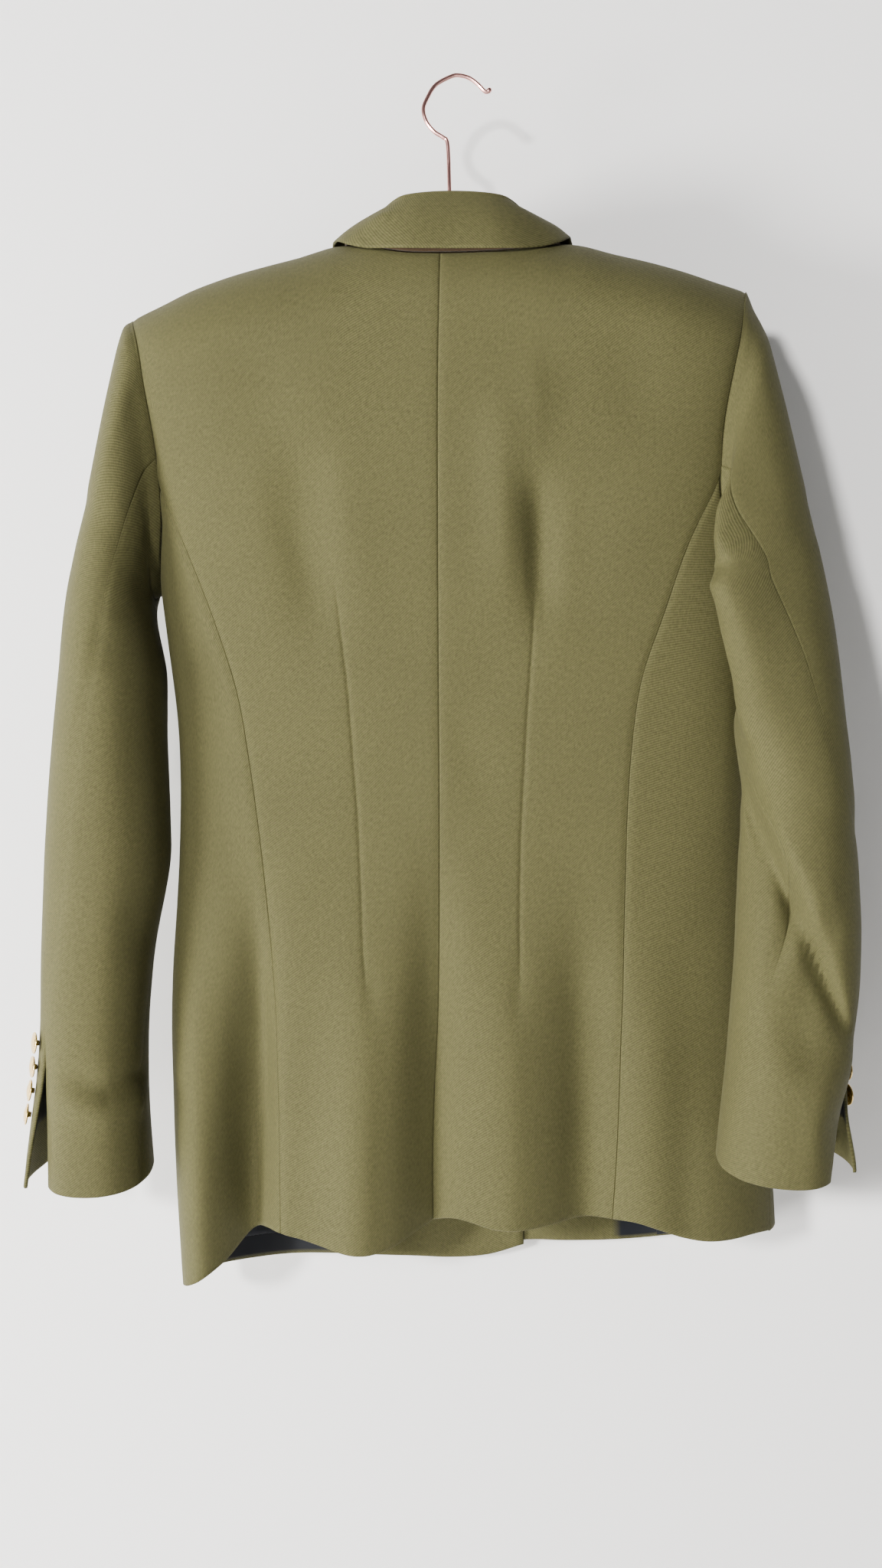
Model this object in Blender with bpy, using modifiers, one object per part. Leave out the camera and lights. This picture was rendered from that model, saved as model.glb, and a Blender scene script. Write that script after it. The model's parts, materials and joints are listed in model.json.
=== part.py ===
"""A tailored blazer hanging on a wire-hook hanger, modelled from its cut pieces.

All tables are in millimetres. The origin is the top of the bend inside the hanger's hook. The
garment's back looks along -Y, its left is at -X and +Z is up.

The body is one smooth tube, cut along its seams: every panel takes its points and its wall
direction from the same surface, so two panels meet along one line, SEAM_GAP apart. Places on
the tube are a height z and a heading in degrees round it: 0 is the right side, 90 the middle
of the back, 180 the left side and 270 the middle of the front.
"""

import math

import bpy
import numpy as np
from mathutils import Vector

MM = 0.001
CLOTH_WALL = 2.0  # twill with its interlining
LINING_WALL = 1.0
SEAM_GAP = 0.3  # between two pieces along a seam
LAYER_GAP = 0.4  # between a piece and the one that lies on it

SHOULDER_ROUND = 62.0  # how far below the shoulder line the body reaches its full depth
COLLAR_CENTRE = -1.0  # x of the middle of the neck
BREAK_Z = -485.0  # where the lapels start to turn out
CENTRE_FRONT_LEAN = 0.0366  # the hanger is crooked, so the front edges lean
EXTENSION = {"left": 27.0, "right": -28.0}  # front edges past the centre front


def table(columns, rows):
    """Named columns of numbers, in the order of the first one."""
    data = np.array(sorted(rows), float)
    return {name: data[:, i] for i, name in enumerate(columns)}


# The body's level sections, from the hem up: where its middle is, half its width, how far the
# back and the front stand from y = 0, and how square its corners are.
BODY = table(
    ("z", "centre", "half_width", "back", "front", "square"),
    (
        (-890, 21, 208, 60, 56, 3.2),
        (-820, 18, 211, 60, 56, 3.2),
        (-730, 12, 210.5, 57, 54, 3.2),
        (-660, 8.7, 209, 54, 52, 3.2),
        (-600, 8, 206, 50, 49, 3.3),
        (-520, 7, 203, 47, 46, 3.4),
        (-450, 4.5, 203.5, 50, 48, 3.4),
        (-380, 0, 208.5, 56, 52, 3.6),
        (-300, -4, 209, 61, 55, 4.2),
        (-180, -10, 226, 62, 56, 5),
        (-90, -10, 240, 62, 56, 5),
    ),
)

# The line along the top of the shoulders, carried on over the neck.
SHOULDER_LINE = table(
    ("x", "z"),
    (
        (-260, -196), (-231, -176.5), (-210, -167), (-193, -158.5), (-168, -148.5),
        (-149, -143), (-128, -137), (-105, -131), (-84, -124.5), (-60, -119), (-30, -114),
        (0, -112.5), (30, -113.5), (60, -118), (83, -122.5), (114, -130), (153, -139),
        (174, -145.5), (191, -151), (210, -156.5), (240, -172),
    ),
)
SHOULDER_TIP = {"left": -230.5, "right": 209.5}
NECK_POINT = {"left": -79.0, "right": 77.0}
BACK_NECK = table(("x", "z"), ((-79, -123.7), (-70, -129), (-55, -136), (-37, -141),
                               (-9.4, -142.5), (18, -141.5), (42, -138.5), (56, -134),
                               (69, -127), (77, -121.6)))

# Seams on the back: x at each height.
CENTRE_BACK = table(("z", "x"), ((-830, -15.2), (-733, -14.6), (-680, -12), (-570, -10.4),
                                 (-430, -11), (-330, -11.5), (-228, -11.5), (-120, -9.4)))
PRINCESS = {
    "left": table(("z", "x"), ((-840, -120), (-758, -121.7), (-689, -124.1), (-606, -130.7),
                               (-545, -136.2), (-496, -142.5), (-449, -150.4), (-407, -162.5),
                               (-384, -172), (-358, -181.5), (-332, -193), (-302, -206.5))),
    "right": table(("z", "x"), ((-840, 108), (-733, 114.1), (-601, 118), (-500, 122),
                                (-444, 128), (-389, 145.9), (-357, 156.4), (-335, 165.4),
                                (-315, 174.8), (-297, 184))),
}
ARMHOLE = {
    "left": table(("z", "x"), ((-310, -206), (-302, -206.5), (-281, -208.5), (-266, -210.5),
                               (-247, -214), (-229, -217), (-210, -220), (-194, -224),
                               (-176, -230.5), (-150, -236))),
    "right": table(("z", "x"), ((-310, 183.8), (-297, 184), (-275, 185.5), (-252, 188),
                                (-231, 192), (-204, 198), (-182, 202), (-165, 206),
                                (-156, 209.5), (-130, 215))),
}
BACK_NOTCH = {"left": -302.0, "right": -297.0}  # where the princess seam meets the armhole
FRONT_NOTCH = {"left": -318.0, "right": -306.0}  # where the front armhole turns under
UNDERARM = {"left": -375.0, "right": -361.0}
FRONT_SCOOP = 7.0  # the front of an armhole is cut further in than its back
SIDE_SEAM = {  # its heading: on the crooked body the right one comes round to the back
    "left": table(("z", "heading"), ((-890, 180), (-360, 180))),
    "right": table(("z", "heading"), ((-890, 27), (-790, 25), (-600, 12), (-340, 0))),
}

BACK_HEM = table(
    ("x", "z"),
    (
        (-200, -865), (-190, -863), (-180, -855), (-165, -846), (-154, -833), (-146, -822),
        (-130, -818), (-112, -820), (-90, -825), (-66, -829), (-52, -828), (-38, -823),
        (-22, -815), (-8, -808), (6, -808), (30, -813), (46, -813), (66, -811), (88, -808),
        (110, -809), (130, -811), (146, -817), (163, -822), (184, -824), (207, -822),
        (240, -824),
    ),
)
FRONT_HEM = {
    "left": table(("x", "z"), ((-200, -865), (-168, -864), (-92, -861), (34, -861),
                               (44, -859), (60, -850))),
    "right": table(("x", "z"), ((-10, -852), (-2, -857), (10, -858), (52, -852), (123, -851),
                                (166, -848), (200, -839), (240, -824))),
}

# Soft vertical folds: x at the top and the foot, half the width, how far the cloth stands out
# (or sinks), the heights where a fold starts and is full, and where it fades and is gone.
FOLD_COLUMNS = ("x_top", "x_foot", "spread", "depth", "start", "full", "fade", "gone")
NO_END = (-2000.0, -2100.0)
BACK_FOLDS = (
    (-11, -15, 13, -9, -500, -790, *NO_END),
    (-66, -66, 26, 9, -590, -810, *NO_END),
    (-137, -144, 13, -22, -560, -790, *NO_END),
    (-182, -180, 17, 11, -600, -800, *NO_END),
    (42, 40, 26, 4, -560, -790, *NO_END),
    (86, 95, 24, -6, -600, -790, *NO_END),
    (180, 182, 20, 4, -690, -810, *NO_END),
    (52, 55, 12, -3.5, -205, -330, -360, -410),
    (-104, -90, 18, -3, -260, -330, -350, -420),
)
FRONT_FOLDS = (
    (-120, -135, 26, 6, -520, -800, *NO_END),
    (-60, -66, 24, -5, -560, -800, *NO_END),
    (90, 92, 26, -5, -560, -800, *NO_END),
    (150, 158, 26, 6, -520, -800, *NO_END),
    (-88, -92, 26, 4, -230, -330, -400, -470),
    (88, 92, 26, 4, -230, -330, -400, -470),
)


def smooth(data, column, at):
    """A column read along a smooth curve through its values, level past both ends."""
    keys = data[next(iter(data))]
    values = data[column]
    slopes = np.gradient(values, keys)
    at = np.clip(at, keys[0], keys[-1])
    low = np.clip(np.searchsorted(keys, at) - 1, 0, len(keys) - 2)
    step = keys[low + 1] - keys[low]
    t = (at - keys[low]) / step
    return (
        (2 * t**3 - 3 * t**2 + 1) * values[low]
        + (t**3 - 2 * t**2 + t) * step * slopes[low]
        + (3 * t**2 - 2 * t**3) * values[low + 1]
        + (t**3 - t**2) * step * slopes[low + 1]
    )


def ease(share):
    """0 to 1 with a soft start and end."""
    share = np.clip(share, 0.0, 1.0)
    return share * share * (3 - 2 * share)


# ---------------------------------------------------------------- the body's surface


def section(heading, z):
    """x and y of a level section at full depth."""
    square = smooth(BODY, "square", z)
    across, along = np.cos(np.radians(heading)), np.sin(np.radians(heading))
    reach = (abs(across) ** square + abs(along) ** square) ** (-1 / square)
    x = smooth(BODY, "centre", z) + smooth(BODY, "half_width", z) * across * reach
    depth = np.where(along > 0, smooth(BODY, "back", z), smooth(BODY, "front", z))
    return x, -depth * along * reach


def heading_at(x, z, front=False):
    """The heading where the section passes x, on the back or the front."""
    square = smooth(BODY, "square", z)
    across = (x - smooth(BODY, "centre", z)) / smooth(BODY, "half_width", z)
    across = np.clip(across, -1.0, 1.0)
    along = (1 - abs(across) ** square) ** (1 / square)
    turned = np.degrees(np.arctan2(along, across))
    return 360.0 - turned if front else turned


def between(start, end, z, share):
    """The heading at a share of the way, by length, from one heading to another."""
    start, end, z, share = np.broadcast_arrays(start, end, z, share)
    steps = np.linspace(0.0, 1.0, 41).reshape((-1,) + (1,) * start.ndim)
    headings = start + steps * (end - start)
    x, y = section(headings, z + 0 * steps)
    lengths = np.hypot(np.diff(x, axis=0), np.diff(y, axis=0)).cumsum(axis=0)
    lengths = np.concatenate([np.zeros_like(lengths[:1]), lengths]) / lengths[-1]
    low = np.clip((lengths <= share).sum(axis=0) - 1, 0, 39)[None]
    before = np.take_along_axis(lengths, low, 0)[0]
    after = np.take_along_axis(lengths, low + 1, 0)[0]
    part = (share - before) / (after - before)
    return start + (end - start) * (low[0] + part) / 40


def fold_depth(folds, x, z):
    """How far the folds stand out from the plain surface."""
    total = np.zeros(np.broadcast(x, z).shape)
    for x_top, x_foot, width, depth, start, full, fade, gone in folds:
        middle = x_top + (x_foot - x_top) * ease((start - z) / (start + 830))
        strength = ease((start - z) / (start - full)) * (1 - ease((fade - z) / (fade - gone)))
        total = total + depth * strength * np.exp(-(((x - middle) / width) ** 2))
    return total


def drop_of(run):
    """How far a point lies below the shoulder line after a run down the cloth."""
    bend = SHOULDER_ROUND * math.pi / 2
    round_part = SHOULDER_ROUND * (1 - np.cos(np.minimum(run, bend) / SHOULDER_ROUND))
    return round_part + np.maximum(run - bend, 0.0)


def run_of(x, z):
    """The run down the cloth from the shoulder line to a height."""
    drop = np.maximum(smooth(SHOULDER_LINE, "z", x) - z, 0.0)
    bent = np.arccos(1 - np.minimum(drop / SHOULDER_ROUND, 1.0)) * SHOULDER_ROUND
    return bent + np.maximum(drop - SHOULDER_ROUND, 0.0)


def body(heading, run):
    """The point of the body's outer face at a heading and a run below the shoulder line."""
    heading = np.asarray(heading, float)
    z = smooth(SHOULDER_LINE, "z", section(heading, -300.0)[0]) - drop_of(run)
    for _ in range(6):
        x, y = section(heading, z)
        z = smooth(SHOULDER_LINE, "z", x) - drop_of(run)
    swell = np.sin(np.minimum(run, SHOULDER_ROUND * math.pi / 2) / SHOULDER_ROUND)
    along = np.sin(np.radians(heading))
    loose = np.minimum(1.0, abs(along) * 2.0) * swell
    back = fold_depth(BACK_FOLDS, x, z) * loose
    front = fold_depth(FRONT_FOLDS, x, z) * loose
    y = y * swell + np.where(along > 0, -back, front)
    return np.stack([x, y, z], axis=-1)


def body_wall(heading, z):
    """Points and outward directions of the body at headings and heights."""
    run = run_of(section(heading, z)[0], z)
    point = body(heading, run)
    turn = body(heading + 0.2, run) - body(heading - 0.2, run)
    fall = body(heading, run + 0.5) - body(heading, run - 0.5)
    outward = np.cross(turn, fall)
    return point, outward / np.linalg.norm(outward, axis=-1, keepdims=True)


# ---------------------------------------------------------------- making meshes

COLLECTION = bpy.data.collections.new("blazer")


def finish(name, shade):
    """A Principled material in a plain colour."""
    material = bpy.data.materials.new(name)
    material.use_nodes = True
    principled = material.node_tree.nodes["Principled BSDF"]
    principled.inputs["Base Color"].default_value = (*shade["colour"], 1.0)
    principled.inputs["Roughness"].default_value = shade["roughness"]
    principled.inputs["Metallic"].default_value = shade["metallic"]
    return material


SHADES = {
    "twill": {"colour": (0.113, 0.107, 0.040), "roughness": 0.9, "metallic": 0.0},
    "lining": {"colour": (0.004, 0.004, 0.006), "roughness": 0.4, "metallic": 0.0},
    "gold": {"colour": (0.72, 0.52, 0.22), "roughness": 0.3, "metallic": 1.0},
    "copper": {"colour": (0.72, 0.36, 0.26), "roughness": 0.25, "metallic": 1.0},
    "hanger": {"colour": (0.05, 0.045, 0.04), "roughness": 0.7, "metallic": 0.0},
}


def place(name, mesh, material):
    """A named object in the garment's collection."""
    thing = bpy.data.objects.new(name, mesh)
    thing.data.materials.append(material)
    COLLECTION.objects.link(thing)
    return thing


def wall_mesh(name, outer, inner):
    """A closed wall between two grids of points, rows by columns, outer face outwards.

    Rows run down the cloth and columns run the way of a rising heading.
    """
    rows, columns = outer.shape[:2]
    points = np.concatenate([outer.reshape(-1, 3), inner.reshape(-1, 3)]) * MM
    far = rows * columns

    def corner(row, column, layer):
        return layer * far + row * columns + column

    faces = []
    for r in range(rows - 1):
        for c in range(columns - 1):
            a, b, d = corner(r, c, 0), corner(r + 1, c, 0), corner(r, c + 1, 0)
            halves = ((a, b, b + 1), (a, b + 1, d))  # both sides split along one diagonal
            faces += [half[::-1] for half in halves]
            faces += [[v + far for v in half] for half in halves]
    rim = [(0, c) for c in range(columns)]
    rim += [(r, columns - 1) for r in range(1, rows)]
    rim += [(rows - 1, c) for c in range(columns - 2, -1, -1)]
    rim += [(r, 0) for r in range(rows - 2, 0, -1)]
    for here, there in zip(rim, rim[1:] + rim[:1]):
        faces.append([corner(*here, 0), corner(*here, 1), corner(*there, 1), corner(*there, 0)])
    mesh = bpy.data.meshes.new(name)
    mesh.from_pydata(points.tolist(), [], faces)
    mesh.shade_smooth()
    mesh.set_sharp_from_angle(angle=math.radians(40))
    return mesh


# ---------------------------------------------------------------- the body's panels

SEAM_DROP = SHOULDER_ROUND * (1 - math.cos(SEAM_GAP / SHOULDER_ROUND))
PRINCESS_GAP = 0.25  # half of it in x, because that seam runs at a slant
SIDE_GAP = 0.17  # degrees of heading that make half a seam gap at the sides
TOP_ROWS = (0, 0.01, 0.04, 0.1, 0.18, 0.29, 0.44, 0.65, 0.82, 1)
FRONT_TOP_ROWS = (0, 0.01, 0.03, 0.065, 0.12, 0.19, 0.28, 0.4, 0.56, 0.71, 0.8, 0.9, 1)
LOW_ROWS = 11
BACK_COLUMNS = (0, 0.12, 0.23, 0.325, 0.43, 0.54, 0.65, 0.77, 0.87, 0.94, 1)
SIDE_COLUMNS = (0, 0.12, 0.26, 0.4, 0.55, 0.7, 0.85, 1)
FRONT_COLUMNS = (0, 0.05, 0.12, 0.22, 0.34, 0.46, 0.58, 0.7, 0.8, 0.9, 1)


def sign(side):
    return -1 if side == "left" else 1


def centre_front(z):
    return COLLAR_CENTRE + (-124 - z) * CENTRE_FRONT_LEAN


def front_edge(side, z):
    """x of a front's free edge, and of the roll line above the break."""
    below = centre_front(z) + EXTENSION[side]
    foot = centre_front(BREAK_Z) + EXTENSION[side]
    head = NECK_POINT[side]
    top = smooth(SHOULDER_LINE, "z", head)
    rise = np.clip((z - BREAK_Z) / (top - BREAK_Z), 0, 1)
    bow = sign(side) * 5 * np.sin(np.pi * rise)
    return np.where(z > BREAK_Z, foot + (head - foot) * rise + bow, below)


def back_edge(side, z):
    """x of the princess seam, and of the back armhole above it."""
    princess = smooth(PRINCESS[side], "x", z)
    armhole = smooth(ARMHOLE[side], "x", z)
    return np.where(z < BACK_NOTCH[side], princess, armhole)


def side_seam(side, z):
    heading = smooth(SIDE_SEAM[side], "heading", z)
    return heading if side == "left" else heading + 360.0


def back_turn(side, heading):
    """Height of the armhole under the arm, from the princess seam to the side seam."""
    notch, low = BACK_NOTCH[side], UNDERARM[side]
    seam = side_seam(side, low) % 360
    start = heading_at(back_edge(side, notch - 0.01), notch)
    way = np.clip((seam - heading) / (seam - start), 0, 1)
    return low + (notch - low) * (1 - np.sqrt(1 - way**2))


def front_armhole(side, z):
    """Heading of the front armhole at a height, and of the side seam below it."""
    tip = smooth(SHOULDER_LINE, "z", SHOULDER_TIP[side])
    notch, low = FRONT_NOTCH[side], UNDERARM[side]
    down = np.clip((tip - z) / (tip - low), 0, 1)
    x = smooth(ARMHOLE[side], "x", np.maximum(z, notch))
    x = x - sign(side) * FRONT_SCOOP * np.sin(np.pi * np.minimum(down, 0.75))
    upper = heading_at(x, np.maximum(z, notch), front=True)
    seam = side_seam(side, z)
    part = np.clip((z - low) / (notch - low), 0, 1)
    turned = seam + (upper - seam) * np.sqrt(1 - (1 - part) ** 2)
    return np.where(z > notch, upper, turned)


def settle(share, first, heading_of, top_of):
    """The height where a column at a share across meets the panel's top line."""
    z = np.full(np.shape(share), float(first))
    for _ in range(12):
        x = section(heading_of(share, z), z)[0]
        z = 0.5 * (z + top_of(share, x, z))
    return z


def back_top(share, x, z):
    inside = (x > NECK_POINT["left"]) & (x < NECK_POINT["right"])
    neck = smooth(BACK_NECK, "z", x)
    return np.where(inside, neck, smooth(SHOULDER_LINE, "z", x) - SEAM_DROP)


def back_heading(side):
    gap = SEAM_GAP / 2 * sign(side)

    def heading_of(share, z):
        middle = heading_at(smooth(CENTRE_BACK, "x", z) + gap, z)
        outer = heading_at(back_edge(side, z) - PRINCESS_GAP * sign(side), z)
        return between(middle, outer, z, share)

    return heading_of


def side_heading(side):
    def heading_of(share, z):
        princess = heading_at(smooth(PRINCESS[side], "x", z) + PRINCESS_GAP * sign(side), z)
        seam = side_seam(side, z) % 360 + sign(side) * SIDE_GAP
        return between(princess, seam, z, share)

    return heading_of


def front_heading(side):
    gap = SIDE_GAP * sign(side)

    def heading_of(share, z):
        outer = front_armhole(side, z) - gap
        edge = heading_at(front_edge(side, z), z, front=True)
        return between(outer, edge, z, share)

    return heading_of


def grid(columns, top_rows, low_rows, top, middle, foot, heading_of):
    """Headings and heights of a panel: top rows to a middle height, low rows to the hem."""
    share = np.array(columns, float)
    upper = top + np.multiply.outer(np.array(top_rows, float), middle - top)
    lower = middle + np.multiply.outer(np.linspace(0, 1, low_rows + 1)[1:], foot - middle)
    z = np.concatenate([upper, lower])
    return heading_of(np.broadcast_to(share, z.shape), z), z


def hem_of(hem, heading_of, share):
    """The height where each column meets the hem."""
    z = np.full(len(share), -830.0)
    for _ in range(12):
        z = 0.5 * (z + smooth(hem, "z", section(heading_of(share, z), z)[0]))
    return z


def rising(side, *grids):
    """Columns put in the order of a rising heading."""
    return [g if side == "left" else g[:, ::-1] for g in grids]


def back_panel(side, columns=BACK_COLUMNS, top_rows=TOP_ROWS, low_rows=LOW_ROWS):
    heading_of = back_heading(side)
    share = np.array(columns, float)
    top = settle(share, -150, heading_of, back_top)
    foot = hem_of(BACK_HEM, heading_of, share)
    middle = np.full(len(share), BACK_NOTCH[side])
    return grid(share, top_rows, low_rows, top, middle, foot, heading_of)


def side_panel(side, columns=SIDE_COLUMNS, low_rows=LOW_ROWS):
    heading_of = side_heading(side)
    share = np.array(columns, float)
    z = np.full(len(share), BACK_NOTCH[side])
    for _ in range(30):
        z = 0.5 * (z + back_turn(side, heading_of(share, z)))
    foot = hem_of(BACK_HEM, heading_of, share)
    return grid(share, (0,), low_rows, z, z, foot, heading_of)


def front_panel(side, columns=FRONT_COLUMNS, top_rows=FRONT_TOP_ROWS, low_rows=LOW_ROWS):
    heading_of = front_heading(side)
    share = np.array(columns, float)
    top = settle(share, -150, heading_of,
                 lambda s, x, z: smooth(SHOULDER_LINE, "z", x) - SEAM_DROP)
    foot = hem_of(FRONT_HEM[side], heading_of, share)
    middle = np.full(len(share), UNDERARM[side])
    return grid(share, top_rows, low_rows, top, middle, foot, heading_of)


UNDERLAP = CLOTH_WALL + 1.0  # the left front lies this far inside the right one


def tuck(x, z):
    """How far the left front sinks to pass under the right one."""
    edge = front_edge("right", np.minimum(z, BREAK_Z))
    return UNDERLAP * ease((x - edge + 45) / 38) * ease((-300 - z) / 80)


def sheet(name, walls, material):
    """A piece from its outer and inner points."""
    return place(name, wall_mesh(name, *walls), material)


def cloth(name, side, headings, heights, material):
    """A panel's wall from its headings and heights."""
    outer, outward = body_wall(headings, heights)
    if name == "front_left":
        outer = outer - outward * tuck(outer[..., 0], outer[..., 2])[..., None]
    walls = [outer, outer - outward * CLOTH_WALL]
    for wall in walls:  # neither side crosses the shoulder seam
        y, above = wall[..., 1], wall[..., 2] > UNDERARM[side]
        if name.startswith("back"):
            y[above] = np.minimum(y[above], -SEAM_GAP / 2)
        elif name.startswith("front"):
            y[above] = np.maximum(y[above], SEAM_GAP / 2)
    return sheet(name, rising(side, *walls), material)


# ---------------------------------------------------------------- the sleeves

# Rings down a sleeve, from the armhole: where the ring's inner and outer sides are, where its
# middle stands in y and how deep it is, how far it laps over the back, and how closely it
# follows the armhole's own outline.
RING_COLUMNS = ("ring", "inner_x", "inner_z", "outer_x", "outer_z", "y_centre", "half_depth",
                "lap", "follow")
SLEEVE_RINGS = {
    "left": table(RING_COLUMNS, (
        (0, -209.3, -375, -230.9, -176.5, 0, 55, 0, 1),
        (1, -213.9, -376, -237, -183.5, -1, 57, 0, 0.8),
        (2, -214.8, -377, -243, -208.5, -2, 60, 0, 0.6),
        (3, -215.5, -378.5, -250.4, -247, -3, 63, 0, 0.4),
        (4, -216, -381, -259, -295, -5, 64, 0, 0.25),
        (5, -216.3, -386, -267, -340, -8, 64, 0, 0.1),
        (6, -215.5, -400, -274, -382, -10, 64, 0, 0),
        (7, -212.5, -432, -277.5, -428, -15, 62, 0, 0),
        (8, -212, -476, -281.5, -470, -17, 60, 0, 0),
        (9, -210.5, -520, -285.5, -516, -18, 57, 0, 0),
        (10, -210, -570, -288.5, -568, -20, 54, 0, 0),
        (11, -213.7, -631, -289.5, -628, -23, 50, 0, 0),
        (12, -216.6, -680, -290, -678, -25, 47, 0, 0),
        (13, -216, -732, -291, -730, -26, 45, 0, 0),
        (14, -213, -780, -291, -780, -26, 44, 0, 0),
    )),
    "right": table(RING_COLUMNS, (
        (0, 209, -361, 209.9, -156.5, 0, 55, 0, 1.0),
        (1, 212.5, -363, 214.5, -170.5, -1, 57, 4, 0.8),
        (2, 214.5, -364, 224, -193, -3, 61, 16, 0.6),
        (3, 215.7, -366, 233, -235, -6, 63, 30, 0.4),
        (4, 216.7, -369, 244, -288, -10, 64, 39, 0.25),
        (5, 217.2, -374, 253, -335, -15, 64, 39, 0.1),
        (6, 216, -392, 260, -380, -26, 61, 34, 0),
        (7, 211, -432, 263, -420, -45, 54, 22, 0),
        (8, 201, -470, 264.5, -462, -62, 48, 8, 0),
        (9, 196, -510, 267.5, -508, -72, 46, 0, 0),
        (10, 193, -553, 269, -553, -76, 48, 0, 0),
        (11, 190, -595, 270.5, -592, -80, 46, 0, 0),
        (12, 187.3, -640, 270, -637, -83, 44, 0, 0),
        (13, 183, -695, 264, -692, -84, 43, 0, 0),
        (14, 178.6, -732, 264.5, -730, -84, 42, 0, 0),
        (15, 175.5, -760, 266, -762, -84, 42, 0, 0),
    )),
}

# Angles round a sleeve: 0 is its outer side, 90 the camera side, 180 the side by the body.
BACK_SEAM = {
    "left": table(("ring", "angle"), ((0, 95), (1, 100), (2, 102), (5, 102), (6, 100), (7, 89),
                                      (8, 79), (9, 70), (10, 63), (11, 53), (12, 43), (14, 40))),
    "right": table(("ring", "angle"), ((0, 108), (1, 106), (2, 100), (3, 94), (4, 86), (5, 81),
                                       (6, 78), (7, 72), (8, 66), (8.6, 58), (9, 50),
                                       (9.5, 34), (10, 14), (10.5, 2), (12, -6), (13, -4),
                                       (15, 0))),
}
INSEAM = {
    "left": table(("ring", "angle"), ((0, 222), (5, 215), (8, 205), (11, 185), (12, 172),
                                      (14, 153))),
    "right": table(("ring", "angle"), ((0, 222), (5, 215), (7, 205), (8.4, 180), (8.9, 162),
                                       (9.5, 131), (10, 117), (10.7, 104), (12, 124),
                                       (13, 135), (15, 144))),
}
CUFF_DIP = 10.0  # the camera side of a cuff hangs lower
SLEEVE_SQUARE = 2.3
ARMHOLE_DEPTH = 55.0
CORNER_EASING = (-10, -5, 0, 5, 10)  # degrees
VENT_RING = {"left": 12.0, "right": 13.0}  # where a cuff's vent opens
LAST_RING = {"left": 14.0, "right": 15.0}

# The deep fold at the right elbow: the cloth left of this line sinks behind the roll.
ELBOW_LINE = table(("z", "x"), ((-679, 263), (-669, 253), (-636, 244.7), (-603, 232.5),
                                (-582, 224), (-558, 216), (-529, 206.5), (-502, 198),
                                (-488, 192.7)))
ELBOW_SINK, ELBOW_FADE = 13.0, 60.0


def armhole_line(side):
    """The body's points round an armhole: down its back edge, then up its front edge."""
    tip = smooth(SHOULDER_LINE, "z", SHOULDER_TIP[side])
    down = tip + (BACK_NOTCH[side] - tip) * np.linspace(0, 1, 60) ** 2
    back = heading_at(back_edge(side, down + 0.001), down)
    under = np.linspace(back[-1], side_seam(side, UNDERARM[side]) % 360, 60)[1:]
    up = UNDERARM[side] + (tip - UNDERARM[side]) * np.linspace(0, 1, 160)[1:-1]
    headings = np.concatenate([back, under, front_armhole(side, up)])
    heights = np.concatenate([down, back_turn(side, under), up])
    return body(headings, run_of(section(headings, heights)[0], heights))


def armhole(side, angle):
    """The armhole's point at an angle round the sleeve, its corner under the arm eased."""
    line = armhole_line(side)
    top, low = line[:, 2].max(), line[:, 2].min()
    height = (line[:, 2] - (top + low) / 2) / (top - low) * 2
    turn = np.degrees(np.arctan2(-line[:, 1] / ARMHOLE_DEPTH, height)) % 360
    order = np.argsort(turn)
    under = ease(-1.3 * np.cos(np.radians(angle)) - 0.2)
    near = np.asarray(angle)[..., None] + np.array(CORNER_EASING) * under[..., None]
    return np.stack([np.interp(near, turn[order], line[order, i], period=360).mean(axis=-1)
                     for i in range(3)], axis=-1)


def ring_point(side, angle, ring):
    """The plain oval of a sleeve at an angle and a ring."""
    rings = SLEEVE_RINGS[side]
    read = {name: smooth(rings, name, ring) for name in RING_COLUMNS[1:7]}
    across, along = np.cos(np.radians(angle)), np.sin(np.radians(angle))
    reach = (abs(across) ** SLEEVE_SQUARE + abs(along) ** SLEEVE_SQUARE) ** (-1 / SLEEVE_SQUARE)
    out = (1 + across * reach) / 2
    x = read["inner_x"] + (read["outer_x"] - read["inner_x"]) * out
    z = read["inner_z"] + (read["outer_z"] - read["inner_z"]) * out
    y = read["y_centre"] - read["half_depth"] * along * reach
    return np.stack([x, y, z], axis=-1)


def sleeve(side, angle, ring):
    """A point of a sleeve's outer face."""
    angle, ring = np.broadcast_arrays(np.asarray(angle, float), np.asarray(ring, float))
    point = ring_point(side, angle, ring)
    follow = smooth(SLEEVE_RINGS[side], "follow", ring)[..., None]
    point = point + follow * (armhole(side, angle) - ring_point(side, angle, 0.0 * ring))
    x, y, z = point[..., 0], point[..., 1], point[..., 2]
    angle = angle % 360
    under = ease(-np.cos(np.radians(angle)))
    away = sign(side) * (SEAM_GAP + 0.2 + 0.8 * under) * ease(1.5 - ring / 2)
    lap = smooth(SLEEVE_RINGS[side], "lap", ring)
    x = x - lap * ease((168 - angle) / 30) * ease((angle - 30) / 80)
    y = y - 0.3 * lap * ease((178 - angle) / 22) * ease((angle - 70) / 70)
    dip = CUFF_DIP * ease((ring - 11) / 3) * np.sin(np.radians(angle))
    if side == "right":
        beyond = smooth(ELBOW_LINE, "x", z) - x
        near = ease(beyond / 7) * (1 - 0.7 * ease(beyond / ELBOW_FADE))
        reach = ease((-488 - z) / 52) * ease((z + 690) / 30) * (np.sin(np.radians(angle)) > 0)
        y = y + ELBOW_SINK * near * reach * ease(np.sin(np.radians(angle)) * 2.5)
    return np.stack([x + away, y, z - dip], axis=-1)


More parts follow.
